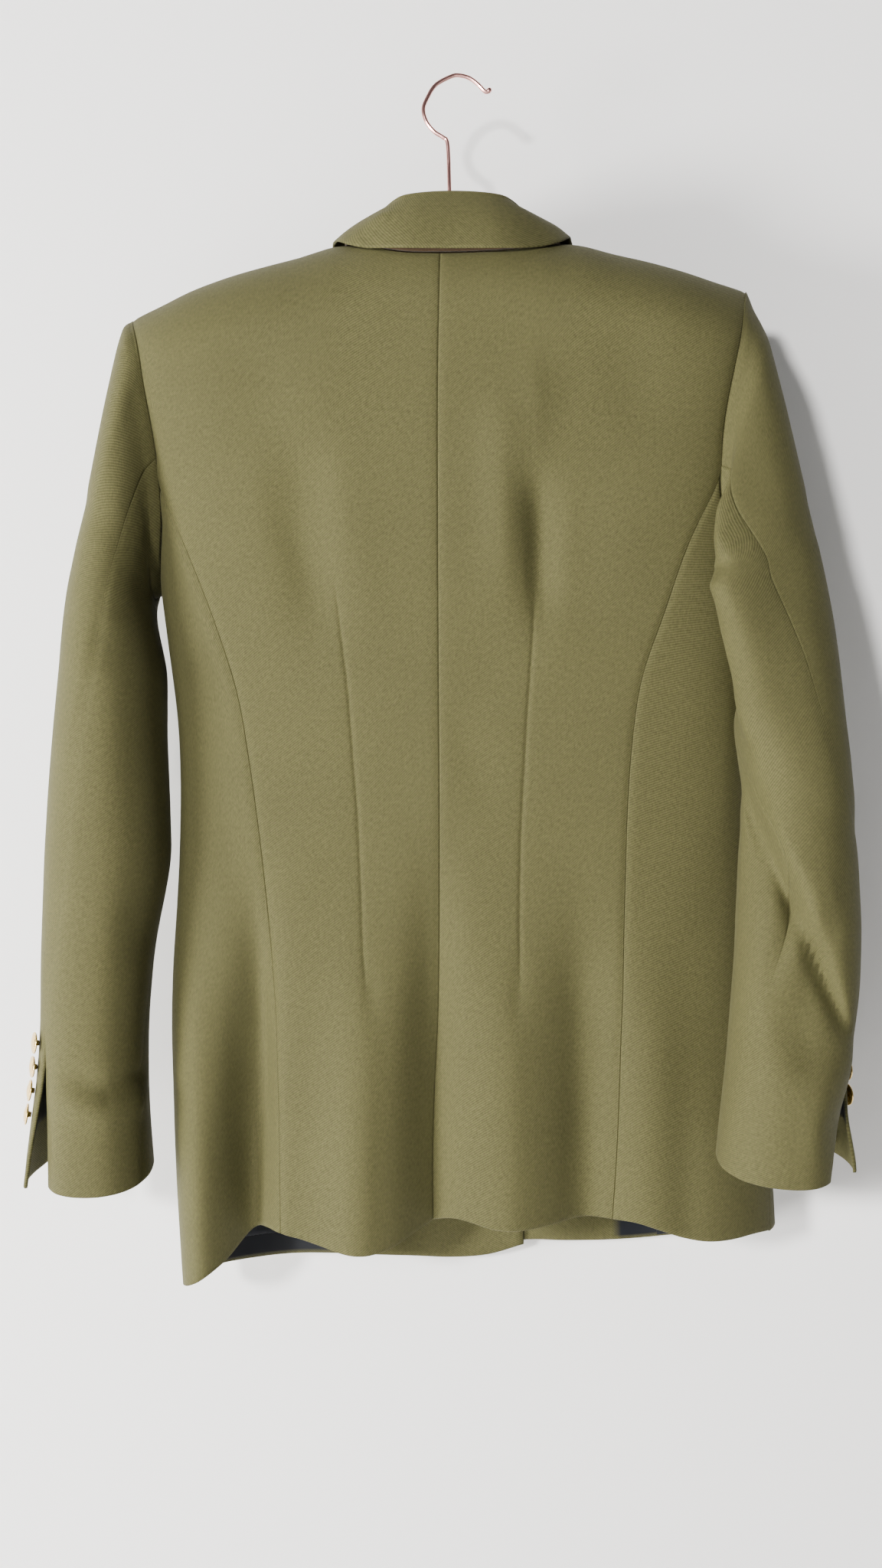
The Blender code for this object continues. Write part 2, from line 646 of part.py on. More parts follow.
def sleeve_wall(side, angle, ring):
    """Points and outward directions of a sleeve at angles and rings."""
    point = sleeve(side, angle, ring)
    turn = sleeve(side, angle + 1.0, ring) - sleeve(side, angle - 1.0, ring)
    upper, lower = np.maximum(ring - 0.02, 0.0), np.minimum(ring + 0.02, LAST_RING[side])
    fall = sleeve(side, angle, lower) - sleeve(side, angle, upper)
    outward = np.cross(turn, fall) * sign(side)
    outward[..., 0] *= ease(np.asarray(ring, float) / 0.6)
    return point, outward / np.linalg.norm(outward, axis=-1, keepdims=True)


SLEEVE_ROWS = (0, 0.15, 0.4, 0.7, 1, 1.5, 2, 2.6, 3.2, 4, 4.6, 5.2, 5.8, 6.4, 7, 7.5, 8, 8.7,
               9.3, 10, 11, 12, 12.6, 13, 13.5, 14, 14.5, 15)
UNDER_COLUMNS, UPPER_COLUMNS = 13, 17
SEAM_ANGLE = 0.6  # half a seam gap round a sleeve, in degrees
VENT_OPENING = 46.0  # degrees that the right cuff's vent stands open
FLAP_FLARE = 15.0  # how far the left cuff's flap stands off
UNDER_SINK = 3.0  # the left vent's lower layer lies this much deeper


def sleeve_piece(side, piece, columns, rows=SLEEVE_ROWS):
    """Points and outward directions of a sleeve's under or upper piece."""
    ring = np.array([r for r in rows if r <= LAST_RING[side]])[:, None]
    share = np.linspace(0, 1, columns)
    seam = smooth(BACK_SEAM[side], "angle", ring)
    inseam = smooth(INSEAM[side], "angle", ring)
    past_vent = ring - VENT_RING[side]
    gap = SEAM_ANGLE * (1 + 0.5 * ease((5 - ring) / 2))
    if piece == "under":
        opening = VENT_OPENING * ease(past_vent / 2) if side == "right" else 0.0
        angle = (seam + gap + opening) * (1 - share) + (inseam - gap) * share
    else:
        angle = (inseam + gap) * (1 - share) + (seam + 360 - gap) * share
    ring = ring + 0 * share
    point, outward = sleeve_wall(side, angle, ring)
    if side == "left" and piece == "under":
        sink = UNDER_SINK * ease(past_vent) * ease(1 - (angle - seam) / 25)
        point = point - outward * sink[..., None]
    elif side == "left":
        flare = FLAP_FLARE * ease(past_vent / 2.4) * np.clip(1 - (seam + 360 - angle) / 55, 0, 1)
        point[..., 0] -= flare
    return point, outward


# ---------------------------------------------------------------- collar and lapels

# Stations round the collar from the centre back: 3 is the neck point on the shoulder, 5 the
# gorge at the front. The neck seam follows the body; x is measured from COLLAR_CENTRE.
COLLAR_COLUMNS = ("station", "seam_x", "seam_z", "fold_x", "fold_y", "fold_z", "edge_x",
                  "edge_y", "edge_z")
COLLAR = table(COLLAR_COLUMNS, (
    (-1, -32, -141, -28, -42, -97, -40, -57, -139.5),
    (0, 0, -141.5, 0, -44, -96, 0, -59, -140.5),
    (1, 32, -141, 28, -42, -97, 40, -57, -139.5),
    (2, 58, -136, 42, -33, -98.5, 74, -36, -133),
    (3, 77.5, -121.5, 56, -6, -103, 85, -6, -119.5),
    (4, 76.5, -128, 58, 17, -110, 89, 21, -122),
    (5, 73, -150, 66, 53, -145, 101, 58, -165),
))
NECK_STATION = 3.0
FALL_STATIONS = 5.0
STAND_STATIONS = 4.0
# The fall's turn over the stand: how far out from the fold line and up, at its outer face.
FALL_TURN = ((-7.5, -9.0), (-7.4, -5.0), (-6.6, -1.8), (-4.4, -0.2), (-2.0, 0.1), (-0.4, -0.8),
             (0.4, -2.6))
STAND_TOP = (-2.8, -4.6)


def unit(vector):
    return vector / np.linalg.norm(vector, axis=-1, keepdims=True)


def grid_normals(points):
    """Directions square to a grid of points, for rows and columns that run smoothly."""
    return unit(np.cross(np.gradient(points, axis=1), np.gradient(points, axis=0)))


def on_body(x, z, front):
    heading = heading_at(x, z, front=front)
    return body_wall(heading, z)


def collar_lines(station):
    """The neck seam, fold and edge at stations (negative on the left), and the fold's frame."""
    side = np.where(station < 0, -1.0, 1.0)
    read = {name: smooth(COLLAR, name, abs(station)) for name in COLLAR_COLUMNS[1:]}
    at_back = abs(station) <= NECK_STATION
    seam_x = COLLAR_CENTRE + side * read["seam_x"]
    back_z = smooth(BACK_NECK, "z", seam_x)
    z = np.where(at_back, back_z, read["seam_z"])
    front_x = np.where(side < 0, front_edge("left", z), front_edge("right", z))
    x = np.where(at_back, seam_x, front_x)
    seam = np.where(at_back[:, None], on_body(x, z, False)[0], on_body(x, z, True)[0])
    seam = seam + np.stack([-0.7 * side * ~at_back, 0 * z, 1.8 * at_back], axis=-1)
    fold, edge = (
        np.stack([COLLAR_CENTRE + side * read[f"{name}_x"], read[f"{name}_y"],
                  read[f"{name}_z"]], axis=-1)
        for name in ("fold", "edge")
    )
    along = unit(np.gradient(fold, axis=0))
    out = unit(np.cross(along, (0.0, 0.0, 1.0)))
    return seam, fold, edge, out, np.cross(out, along)


def clear_of_body(points, distance):
    """Points moved out where they come nearer to the body than a distance."""
    for _ in range(3):
        front = points[..., 1] > 0
        nearest, outward = (
            np.where(front[..., None], f, b)
            for f, b in zip(on_body(points[..., 0], points[..., 2], True),
                            on_body(points[..., 0], points[..., 2], False))
        )
        over = np.sum((points - nearest) * outward, axis=-1)
        points = points + outward * np.clip(distance - over, 0, 6)[..., None]
    return points


def stand_wall(columns=23, rows=4):
    seam, fold, _, out, up = collar_lines(np.linspace(-STAND_STATIONS, STAND_STATIONS, columns))
    top = fold + out * STAND_TOP[0] + up * STAND_TOP[1]
    share = np.linspace(1, 0, rows)[:, None, None]
    outer = (seam + (top - seam) * share)[:, ::-1]
    return outer, outer - grid_normals(outer) * CLOTH_WALL


def fall_wall(columns=27, rows=4):
    _, fold, edge, out, up = collar_lines(np.linspace(-FALL_STATIONS, FALL_STATIONS, columns))
    turn = [fold + out * across + up * above for across, above in FALL_TURN]
    start = turn[-1]
    edge = clear_of_body(edge, CLOTH_WALL + LAYER_GAP + 0.7)
    share = np.linspace(0, 1, rows + 1)[1:, None, None]
    bulge = 2.5 * np.sin(np.pi * share)
    hang = start + (edge - start) * share + (out + up) * 0.7 * bulge
    hang = clear_of_body(hang, CLOTH_WALL + LAYER_GAP + 0.7)
    outer = np.concatenate([np.stack(turn), hang])[:, ::-1]
    return outer, outer - grid_normals(outer) * CLOTH_WALL


# A lapel by the height on its roll line: how wide it is and how far its outer edge drops.
LAPEL = table(("z", "width", "drop"), (
    (-472, 8, 5), (-440, 8, 26), (-391, 13, 50), (-330, 36, 52), (-270, 60, 52),
    (-215, 78, 52), (-154, 88, 52),
))
LAPEL_FOOT = {"left": -391.0, "right": -472.0}  # the left one passes under the right front
LAPEL_TOP = -154.0
LAPEL_ROLL = 3.0  # how far it bows off the front near the roll line
# Its turn round the front's edge: past the edge, and out from the front's outer face.
LAPEL_TURN = ((2.7, -2.2), (3.0, -0.6), (2.7, 1.2), (1.6, 2.8), (-0.5, 3.9))


def lapel_wall(side, rows=14, columns=7):
    roll_z = np.linspace(LAPEL_TOP, LAPEL_FOOT[side], rows)[:, None]
    share = np.linspace(0, 1, columns + 1)[1:]
    x = front_edge(side, roll_z) + sign(side) * smooth(LAPEL, "width", roll_z) * share
    z = roll_z - smooth(LAPEL, "drop", roll_z) * share
    point, outward = on_body(x, z, True)
    bow = LAPEL_ROLL * np.clip(smooth(LAPEL, "width", roll_z) / 40, 0, 1)
    lift = CLOTH_WALL + LAYER_GAP + bow * (1 - share) ** 2 * ease(share * 6)
    flat = point + outward * lift[..., None]
    edge, away = on_body(front_edge(side, roll_z), roll_z + 0.0, True)
    past = np.array([-sign(side), 0.0, 0.0])
    turn = [edge + past * across + away * above for across, above in LAPEL_TURN]
    outer = np.concatenate([*turn, flat], axis=1)
    if side == "left":
        outer = outer[:, ::-1]
    return outer, outer - grid_normals(outer) * CLOTH_WALL


# ---------------------------------------------------------------- linings

LINING_COLUMNS = 6  # of a front's columns, from the side seam to the facing
LINING_FIRST_ROW = 14  # of a front's rows
LINING_HEM = {"left": 0.38, "right": 0.03}  # share of the last row left free above the hem
CUFF_LINING_ROWS = 6  # the last rows of the right sleeve's upper piece
CUFF_LINING_COLUMNS = slice(5, 15)
CUFF_LINING_HEM = 0.4


def inside_of(outer, outward, hem):
    """A lining on a piece's own points, moved in, that stops short of its hem."""
    outer = outer - outward * (CLOTH_WALL + LAYER_GAP)
    inner = outer - outward * LINING_WALL
    for wall in (outer, inner):
        wall[-1] += (wall[-2] - wall[-1]) * hem
    return outer, inner


def front_lining(side):
    """The lining inside a front, from the side seam to the facing."""
    headings, heights = (grid[LINING_FIRST_ROW:, :LINING_COLUMNS] for grid in front_panel(side))
    outer, outward = body_wall(headings, heights)
    return rising(side, *inside_of(outer, outward, LINING_HEM[side]))


def cuff_lining():
    """The lining inside the right cuff, which shows through the open vent."""
    outer, outward = (grid[-CUFF_LINING_ROWS:, CUFF_LINING_COLUMNS]
                      for grid in sleeve_piece("right", "upper", columns=UPPER_COLUMNS))
    return inside_of(outer, outward, CUFF_LINING_HEM)


# ---------------------------------------------------------------- buttons and hanger

# A domed button's half profile: distance from its axis and height over the cloth, as shares
# of its radius.
BUTTON_PROFILE = ((0, 0), (0.26, 0), (0.3, 0.26), (0.93, 0.34), (1, 0.44), (0.95, 0.5),
                  (0.83, 0.51), (0.5, 0.67), (0, 0.72))
BUTTON_TURNS = 14
CUFF_BUTTON_RADIUS, FRONT_BUTTON_RADIUS = 7.5, 11.0
BUTTON_LIFT = 0.4  # between a button and the cloth
CUFF_BUTTON_Z = {"left": (-689, -706, -723, -740), "right": (-671, -688, -705, -722)}
CUFF_BUTTON_REACH = 11.0  # from the vent's edge to a button's middle
FRONT_BUTTON_Z = (-500, -600)

HOOK_WIRE = table(("step", "x", "z"), (
    (0, 26.8, -7.3), (1, 22.9, -9.6), (2, 17.1, -4.1), (3, 11, 0.3), (4, 3.9, 2.2),
    (5, -2.2, 1.4), (6, -13.2, -4.7), (7, -19.3, -14.1), (8, -22.1, -22.3), (9, -19.9, -31.2),
    (10, -14.3, -38.3), (11, -8.3, -42.2), (12, -5, -45.5), (13, -3.9, -58.2),
    (14, -3.3, -78.9), (15, -3.2, -116.45),
))
HOOK_RADIUS = 1.5
HOOK_SIDES = 8
HOOK_BALL = ((0, 0.5), (0.15, 1.05), (0.4, 1.25), (0.7, 1.05), (1, 1), (15, 1))

# The hanger's body: its top edge follows the shoulders, its depth shrinks to the ends.
HANGER_ENDS = (-203.0, 188.0)
HANGER_THICKNESS = 6.0
HANGER_CLEARANCE = CLOTH_WALL + 2.0
HANGER_DEPTH = table(("x", "depth"), ((-203, 14), (-190, 20), (-120, 30), (-3, 44), (110, 30),
                                      (175, 20), (188, 14)))
HANGER_STEPS = 36


def turned(name, radius, centre, axis, material):
    """A domed button, its profile turned about its axis by a Screw modifier."""
    profile = bpy.data.meshes.new(name)
    points = [(r * radius * MM, 0.0, h * radius * MM) for r, h in BUTTON_PROFILE]
    profile.from_pydata(points, [(i, i + 1) for i in range(len(points) - 1)], [])
    button = place(name, profile, material)
    screw = button.modifiers.new("Turn", "SCREW")
    screw.steps = screw.render_steps = BUTTON_TURNS
    screw.use_merge_vertices = True
    screw.merge_threshold = 0.00001
    screw.use_normal_flip = True
    frame = Vector(axis).to_track_quat("Z", "Y").to_matrix().to_4x4()
    frame.translation = Vector(centre) * MM
    button.matrix_world = frame
    return button


def cuff_buttons(side, material):
    """Buttons along the vent's edge of a sleeve's upper piece, flat on its facets."""
    outer, _ = sleeve_piece(side, "upper", columns=UPPER_COLUMNS)
    for number, z in enumerate(CUFF_BUTTON_Z[side], 1):
        row = np.argmax(outer[:, -1, 2] < z) - 1
        span = np.linalg.norm(outer[row, -1] - outer[row, -2])
        corners = outer[row:row + 2, -2:] if span > CUFF_BUTTON_REACH else outer[row:row + 2, -3:-1]
        share = (z - outer[row, -1, 2]) / (outer[row + 1, -1, 2] - outer[row, -1, 2])
        across = corners[:, 0] - corners[:, 1]
        past = CUFF_BUTTON_REACH - (0 if span > CUFF_BUTTON_REACH else span)
        line = corners[:, 1] + across * past / np.linalg.norm(across, axis=-1)[:, None]
        outward = unit(np.cross(corners[1, 1] - corners[0, 0], corners[1, 0] - corners[0, 1]))
        outward = outward * np.sign(outward[0]) * sign(side)
        centre = line[0] + (line[1] - line[0]) * share + outward * BUTTON_LIFT
        turned(f"cuff_button_{side}_{number}", CUFF_BUTTON_RADIUS, centre, outward, material)


def front_buttons(material):
    for number, z in enumerate(FRONT_BUTTON_Z, 1):
        z = np.array(float(z))
        point, outward = on_body(centre_front(z), z, True)
        turned(f"front_button_{number}", FRONT_BUTTON_RADIUS, point + outward * BUTTON_LIFT,
               outward, material)


def hanger_hook(material):
    """A round wire swept along the hook's line, swollen to a ball at its free end."""
    steps = np.concatenate([[0, 0.15, 0.4, 0.7], np.linspace(1, 13, 34), [14, 15]])
    middle = np.stack([smooth(HOOK_WIRE, "x", steps), 0 * steps,
                       smooth(HOOK_WIRE, "z", steps)], axis=-1)
    radius = HOOK_RADIUS * np.interp(steps, *zip(*HOOK_BALL))
    along = unit(np.gradient(middle, axis=0))
    across = np.cross(along, (0.0, 1.0, 0.0))
    turn = np.arange(HOOK_SIDES) / HOOK_SIDES * 2 * np.pi
    ring = (across[:, None] * np.cos(turn)[:, None] + np.array((0.0, 1.0, 0.0))
            * np.sin(turn)[:, None])
    points = (middle[:, None] + ring * radius[:, None, None]).reshape(-1, 3) * MM
    faces = [tuple(range(HOOK_SIDES))]
    for i in range(len(steps) - 1):
        for j in range(HOOK_SIDES):
            a, b = i * HOOK_SIDES + j, i * HOOK_SIDES + (j + 1) % HOOK_SIDES
            faces.append((a, a + HOOK_SIDES, b + HOOK_SIDES, b))
    faces.append(tuple(len(points) - 1 - j for j in range(HOOK_SIDES)))
    mesh = bpy.data.meshes.new("hanger_hook")
    mesh.from_pydata(points.tolist(), [], faces)
    mesh.shade_smooth()
    return place("hanger_hook", mesh, material)


def hanger_body(material):
    """A slim board cut to the shoulders' slope, extruded to its thickness."""
    x = np.linspace(*HANGER_ENDS, HANGER_STEPS)
    top = smooth(SHOULDER_LINE, "z", x) - HANGER_CLEARANCE
    low = top - smooth(HANGER_DEPTH, "depth", x)
    outline = [*zip(x, top), *zip(x[::-1], low[::-1])]
    half = HANGER_THICKNESS / 2
    count = len(outline)
    points = [(px * MM, y * MM, pz * MM) for y in (-half, half) for px, pz in outline]
    steps = len(x)
    faces = []
    for i in range(steps - 1):
        a, b, c, d = i, i + 1, count - 2 - i, count - 1 - i
        faces += [(a, d, c, b), (a + count, b + count, c + count, d + count)]
    for i in range(count):
        nxt = (i + 1) % count
        faces.append((i, nxt, nxt + count, i + count))
    mesh = bpy.data.meshes.new("hanger_body")
    mesh.from_pydata(points, [], faces)
    return place("hanger_body", mesh, material)


# ---------------------------------------------------------------- the garment

def build():
    for left_over in list(bpy.data.objects):
        bpy.data.objects.remove(left_over)
    bpy.context.scene.collection.children.link(COLLECTION)
    twill, lining, gold, copper, hanger = (finish(name, SHADES[name]) for name in SHADES)
    for side in ("left", "right"):
        cloth(f"back_{side}", side, *back_panel(side), twill)
        cloth(f"side_{side}", side, *side_panel(side), twill)
        cloth(f"front_{side}", side, *front_panel(side), twill)
        for piece, columns in (("under", UNDER_COLUMNS), ("upper", UPPER_COLUMNS)):
            outer, outward = sleeve_piece(side, piece, columns=columns)
            walls = (outer, outer - outward * CLOTH_WALL)
            walls = walls if side == "right" else [wall[:, ::-1] for wall in walls]
            sheet(f"sleeve_{piece}_{side}", walls, twill)
        sheet(f"lapel_{side}", lapel_wall(side), twill)
        sheet(f"lining_{side}", front_lining(side), lining)
        cuff_buttons(side, gold)
    sheet("collar_stand", stand_wall(), twill)
    sheet("collar_fall", fall_wall(), twill)
    sheet("cuff_lining_right", cuff_lining(), lining)
    front_buttons(gold)
    hanger_hook(copper)
    hanger_body(hanger)


build()
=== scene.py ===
"""Looks of a tailored wool blazer on a wire-hook hanger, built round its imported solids."""

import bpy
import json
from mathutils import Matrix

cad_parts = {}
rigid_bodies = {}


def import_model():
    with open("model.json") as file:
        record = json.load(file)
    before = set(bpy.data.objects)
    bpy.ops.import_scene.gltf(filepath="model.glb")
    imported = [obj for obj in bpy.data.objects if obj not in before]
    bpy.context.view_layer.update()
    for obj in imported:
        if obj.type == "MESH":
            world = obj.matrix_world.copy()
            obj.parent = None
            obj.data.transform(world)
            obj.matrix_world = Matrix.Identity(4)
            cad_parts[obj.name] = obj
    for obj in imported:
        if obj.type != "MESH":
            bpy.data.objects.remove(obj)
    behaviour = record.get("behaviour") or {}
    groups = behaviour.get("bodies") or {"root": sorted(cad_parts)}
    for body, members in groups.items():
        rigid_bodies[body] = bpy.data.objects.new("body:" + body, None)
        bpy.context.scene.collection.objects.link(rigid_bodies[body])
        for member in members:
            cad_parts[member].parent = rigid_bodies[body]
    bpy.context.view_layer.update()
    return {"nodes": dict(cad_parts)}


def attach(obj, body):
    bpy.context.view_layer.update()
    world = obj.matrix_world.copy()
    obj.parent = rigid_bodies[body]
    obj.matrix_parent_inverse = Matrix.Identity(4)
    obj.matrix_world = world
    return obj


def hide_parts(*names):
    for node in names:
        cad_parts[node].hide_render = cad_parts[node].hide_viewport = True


bl_info = {
    "name": "Hanging blazer",
    "version": (1, 0, 0),
    "blender": (4, 5, 0),
    "location": "3D View > Sidebar > Blazer",
    "description": "Makes the cloth, lining, buttons, hanger and stage of a hanging blazer",
    "category": "Object",
}

import json
import math

import bmesh
import bpy
import numpy as np
from mathutils import Vector

for left_over in list(bpy.data.objects):
    bpy.data.objects.remove(left_over)
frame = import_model()

MM = 0.001
UP = Vector((0, 0, 1))

# ---------------------------------------------------------------- settings


def measure(name, default, description):
    return bpy.props.FloatProperty(name=name, description=description, default=default,
                                   min=0, subtype="DISTANCE", unit="LENGTH")


def colour(name, default, description):
    return bpy.props.FloatVectorProperty(name=name, description=description, default=default,
                                         min=0, max=1, size=3, subtype="COLOR")


def number(name, default, description):
    return bpy.props.FloatProperty(name=name, description=description, default=default, min=0)


class ClothSettings(bpy.types.PropertyGroup):
    """The wool twill, its lining and its sewing."""

    twill: colour("Twill", (0.030, 0.0290, 0.0090), "Main shade of the wool")
    twill_light: colour("Twill, light yarn", (0.097, 0.0935, 0.0330), "Shade of the lighter yarn")
    fleck: colour("Twill, flecks", (0.105, 0.080, 0.042), "Shade of the brown fibres in the wool")
    lining: colour("Lining", (0.006, 0.007, 0.010), "Shade of the satin lining")
    # painted shade: the stand's dark brown stands in for the shadow that the collar's fall casts
    # on it
    undercollar: colour("Undercollar", (0.050, 0.030, 0.016), "Shade of the felt below the collar")
    rib: measure("Twill rib", 1.3 * MM, "Distance from one twill rib to the next")
    seam_depth: measure("Seam depth", 0.7 * MM, "How far a seam draws the cloth in")
    seam_width: measure("Seam width", 2.6 * MM, "Half width of the roll beside a seam")
    undulation: measure("Undulation", 0.35 * MM, "Height of the cloth's slow waves")


class MetalSettings(bpy.types.PropertyGroup):
    """The buttons and the hanger."""

    gold: colour("Gold", (0.83, 0.60, 0.25), "Shade of the buttons")
    copper: colour("Copper", (0.78, 0.42, 0.38), "Shade of the hook's wire")
    hanger: colour("Hanger", (0.46, 0.36, 0.25), "Shade of the hanger's body")
    wire: measure("Wire", 3.0 * MM, "Diameter of the hook's wire")


class StageSettings(bpy.types.PropertyGroup):
    """The wall, floor and lights."""

    wall: colour("Wall", (0.90, 0.895, 0.885), "Shade of the wall and floor")
    key: number("Key light", 170.0, "Strength of the main light, in watts")
    side: number("Side light", 195.0, "Strength of the low light from the left, in watts")
    front: number("Front light", 0.8, "Strength of the light before the wall, in watts")
    sky: number("Room light", 0.12, "Strength of the room's even light")


def settings(group):
    return getattr(bpy.context.scene, "blazer_" + group)


# ---------------------------------------------------------------- the cloth solids as grids

# Each cloth solid: rows and columns of its walls, which way its rows and columns run,
# which way its right side faces (None takes the larger wall), and which edges are sewn.
WALLS = {
    "back_left": ((21, 11), (0, 0, -1), (1, 0, 0), (0, -1, 0), "tlr"),
    "back_right": ((21, 11), (0, 0, -1), (1, 0, 0), (0, -1, 0), "tlr"),
    "side_left": ((12, 8), (0, 0, -1), (0, 1, 0), (-1, 0, 0), "tlr"),
    "side_right": ((12, 8), (0, 0, -1), (0, 1, 0), (1, 0, 0), "tlr"),
    "front_left": ((24, 11), (0, 0, -1), (1, 0, 0), (0, 1, 0), "tl"),
    "front_right": ((24, 11), (0, 0, -1), (-1, 0, 0), (0, 1, 0), "tl"),
    "sleeve_under_left": ((26, 13), (0, 0, -1), (0, 1, 0), None, "tlr"),
    "sleeve_under_right": ((28, 13), (0, 0, -1), (0, 1, 0), None, "tlr"),
    "sleeve_upper_left": ((26, 17), (0, 0, -1), (0, 1, 0), None, "tlr"),
    "sleeve_upper_right": ((28, 17), (0, 0, -1), (0, 1, 0), None, "tlr"),
    "collar_fall": ((27, 11), (1, 0, 0), (0, 0, -1), None, ""),
    "collar_stand": ((23, 4), (1, 0, 0), (0, 0, -1), (0, -1, 0), ""),
    "lapel_left": ((14, 12), (0, 0, -1), (1, 0, 0), (0, 1, 0), ""),
    "lapel_right": ((14, 12), (0, 0, -1), (-1, 0, 0), (0, 1, 0), ""),
    "lining_left": ((10, 6), (0, 0, -1), (1, 0, 0), (0, -1, 0), ""),
    "lining_right": ((10, 6), (0, 0, -1), (1, 0, 0), (0, -1, 0), ""),
    "cuff_lining_right": ((6, 10), (0, 0, -1), (1, 0, 0), (0, -1, 0), ""),
}
CLOTH_WALLS = (1, 2)  # mm, how thick the lining and the twill are


def edge_between(face, a, b):
    return next(e for e in face.edges if a in e.verts and b in e.verts)


def opposite(edge, face):
    """The corner across an edge from a triangle, and the triangle that holds it."""
    other = next(f for f in edge.link_faces if f != face)
    return next(v for v in other.verts if v not in edge.verts), other


def rim_pairs(bm, count):
    """Corners across a cloth solid's rim, pair by pair round it, and the rim's triangles."""
    for start in sorted(bm.edges, key=lambda e: min(abs(e.calc_length() - wall * MM)
                                                    for wall in CLOTH_WALLS)):
        here, pairs, rim, face = tuple(start.verts), [], set(), start.link_faces[0]
        for _ in range(count):
            pairs.append(here)
            a, b = here
            x = next(v for v in face.verts if v not in here)
            y, second = opposite(edge_between(face, b, x), face)
            v, other = opposite(edge_between(face, a, x), face)
            ways = [(((pair[1].co - pair[0].co) - (b.co - a.co)).length, number, pair, half)
                    for number, (pair, half) in enumerate((((x, y), second), ((v, x), other)))]
            pair, half = min(ways)[2:]
            rim.update((face, half))
            if pair[0] not in half.verts or pair[1] not in half.verts:
                break
            face = next(f for f in edge_between(half, *pair).link_faces if f != half)
            here = pair
        if here == tuple(start.verts) and len(rim) == 2 * count:
            return pairs, rim
    raise RuntimeError("a cloth solid's rim wasn't found")


def walked(start, along, down, rim, shape):
    """One wall's corners as a grid, walked quad by quad from a corner of it."""

    def third(a, b, known):
        for face in a.link_faces:
            if b in face.verts and face not in rim:
                corner = next(v for v in face.verts if v not in (a, b))
                if corner not in known:
                    return corner
        raise RuntimeError("a cloth solid's wall isn't a grid")

    rows, columns = shape
    at = {(0, 0): start, (0, 1): along, (1, 0): down, (1, 1): third(along, down, (start,))}
    for r in range(rows - 1):
        if r:
            at[r + 1, 0] = third(at[r, 0], at[r, 1], (at[r - 1, 0], at[r - 1, 1]))
            at[r + 1, 1] = third(at[r + 1, 0], at[r, 1], (at[r, 0],))
        for c in range(1, columns - 1):
            known = (at[r, c - 1], at[r + 1, c - 1])
            at[r, c + 1] = third(at[r, c], at[r + 1, c], known)
            at[r + 1, c + 1] = third(at[r + 1, c], at[r, c + 1], (at[r, c],))
    return np.array([[at[r, c].co for c in range(columns)] for r in range(rows)])


def area_of(points):
    """The area of a grid of points."""
    first = np.cross(points[1:, :-1] - points[:-1, :-1], points[:-1, 1:] - points[:-1, :-1])
    second = np.cross(points[1:, :-1] - points[1:, 1:], points[:-1, 1:] - points[1:, 1:])
    return (np.linalg.norm(first, axis=-1) + np.linalg.norm(second, axis=-1)).sum() / 2


def walls_of(node):
    """A cloth solid's right side and wrong side as grids of points."""
    shape, down, across, facing, _ = WALLS[node]
    rows, columns = shape
    bm = bmesh.new()
    bm.from_mesh(frame["nodes"][node].data)
    bmesh.ops.remove_doubles(bm, verts=bm.verts, dist=0.001 * MM)
    count = 2 * (rows + columns) - 4
    pairs, rim = rim_pairs(bm, count)
    walls = []
    for layer in (0, 1):
        free = [sum(f not in rim for f in pair[layer].link_faces) for pair in pairs]
        k = free.index(1)
        step = 1 if free[(k + columns - 1) % count] == 2 else -1
        along, below = pairs[(k + step) % count][layer], pairs[(k - step) % count][layer]
        walls.append(walked(pairs[k][layer], along, below, rim, shape))
    bm.free()
    if np.dot((walls[0][-1] - walls[0][0]).mean(0), down) < 0:
        walls = [wall[::-1] for wall in walls]
    if np.dot((walls[0][:, -1] - walls[0][:, 0]).mean(0), across) < 0:
        walls = [wall[:, ::-1] for wall in walls]
    if facing is None:
        swap = area_of(walls[0]) < area_of(walls[1])
    else:
        swap = np.dot((walls[0] - walls[1]).mean((0, 1)), facing) < 0
    return walls[::-1] if swap else walls


# ---------------------------------------------------------------- finer grids


def spline_weights(count, at):
    """Weights that carry values at 0, 1, 2 ... to the places named, along a smooth line."""
    at = np.clip(np.asarray(at, float), 0, count - 1)
    low = np.minimum(at.astype(int), count - 2)
    t = at - low
    weights = np.zeros((len(at), count))
    rows = np.arange(len(at))
    parts = (((-t + 2 * t**2 - t**3) / 2, -1), ((2 - 5 * t**2 + 3 * t**3) / 2, 0),
             ((t + 4 * t**2 - 3 * t**3) / 2, 1), ((t**3 - t**2) / 2, 2))
    for part, shift in parts:
        index = low + shift
        first, last = index < 0, index > count - 1
        inside = ~(first | last)
        weights[rows[inside], index[inside]] += part[inside]
        # past an end, the line goes on straight
        weights[rows[first], 0] += 2 * part[first]
        weights[rows[first], 1] -= part[first]
        weights[rows[last], count - 1] += 2 * part[last]
        weights[rows[last], count - 2] -= part[last]
    return weights


END_CUTS = (0, 0.07, 0.16, 0.28, 0.42, 0.6, 0.8)  # where a cell beside a sewn end is cut


def steps(count, cuts, first=False, last=False):
    """Places along a line of so many corners, each cell cut evenly and a sewn end finely."""
    places = []
    for cell in range(count - 1):
        if cell == 0 and first:
            places += [cell + cut for cut in END_CUTS]
        elif cell == count - 2 and last:
            places += sorted({cell} | {cell + 1 - cut for cut in END_CUTS[1:]})
        else:
            places += [cell + k / cuts for k in range(cuts)]
    return np.array(places + [count - 1])


def refined(grid, row_steps, column_steps):
    """A grid made finer along its rows and columns."""
    rows = spline_weights(grid.shape[0], row_steps)
    columns = spline_weights(grid.shape[1], column_steps)
    return np.einsum("ir,rck,jc->ijk", rows, grid, columns)


def unit(vectors):
    return vectors / np.maximum(np.linalg.norm(vectors, axis=-1, keepdims=True), 1e-12)


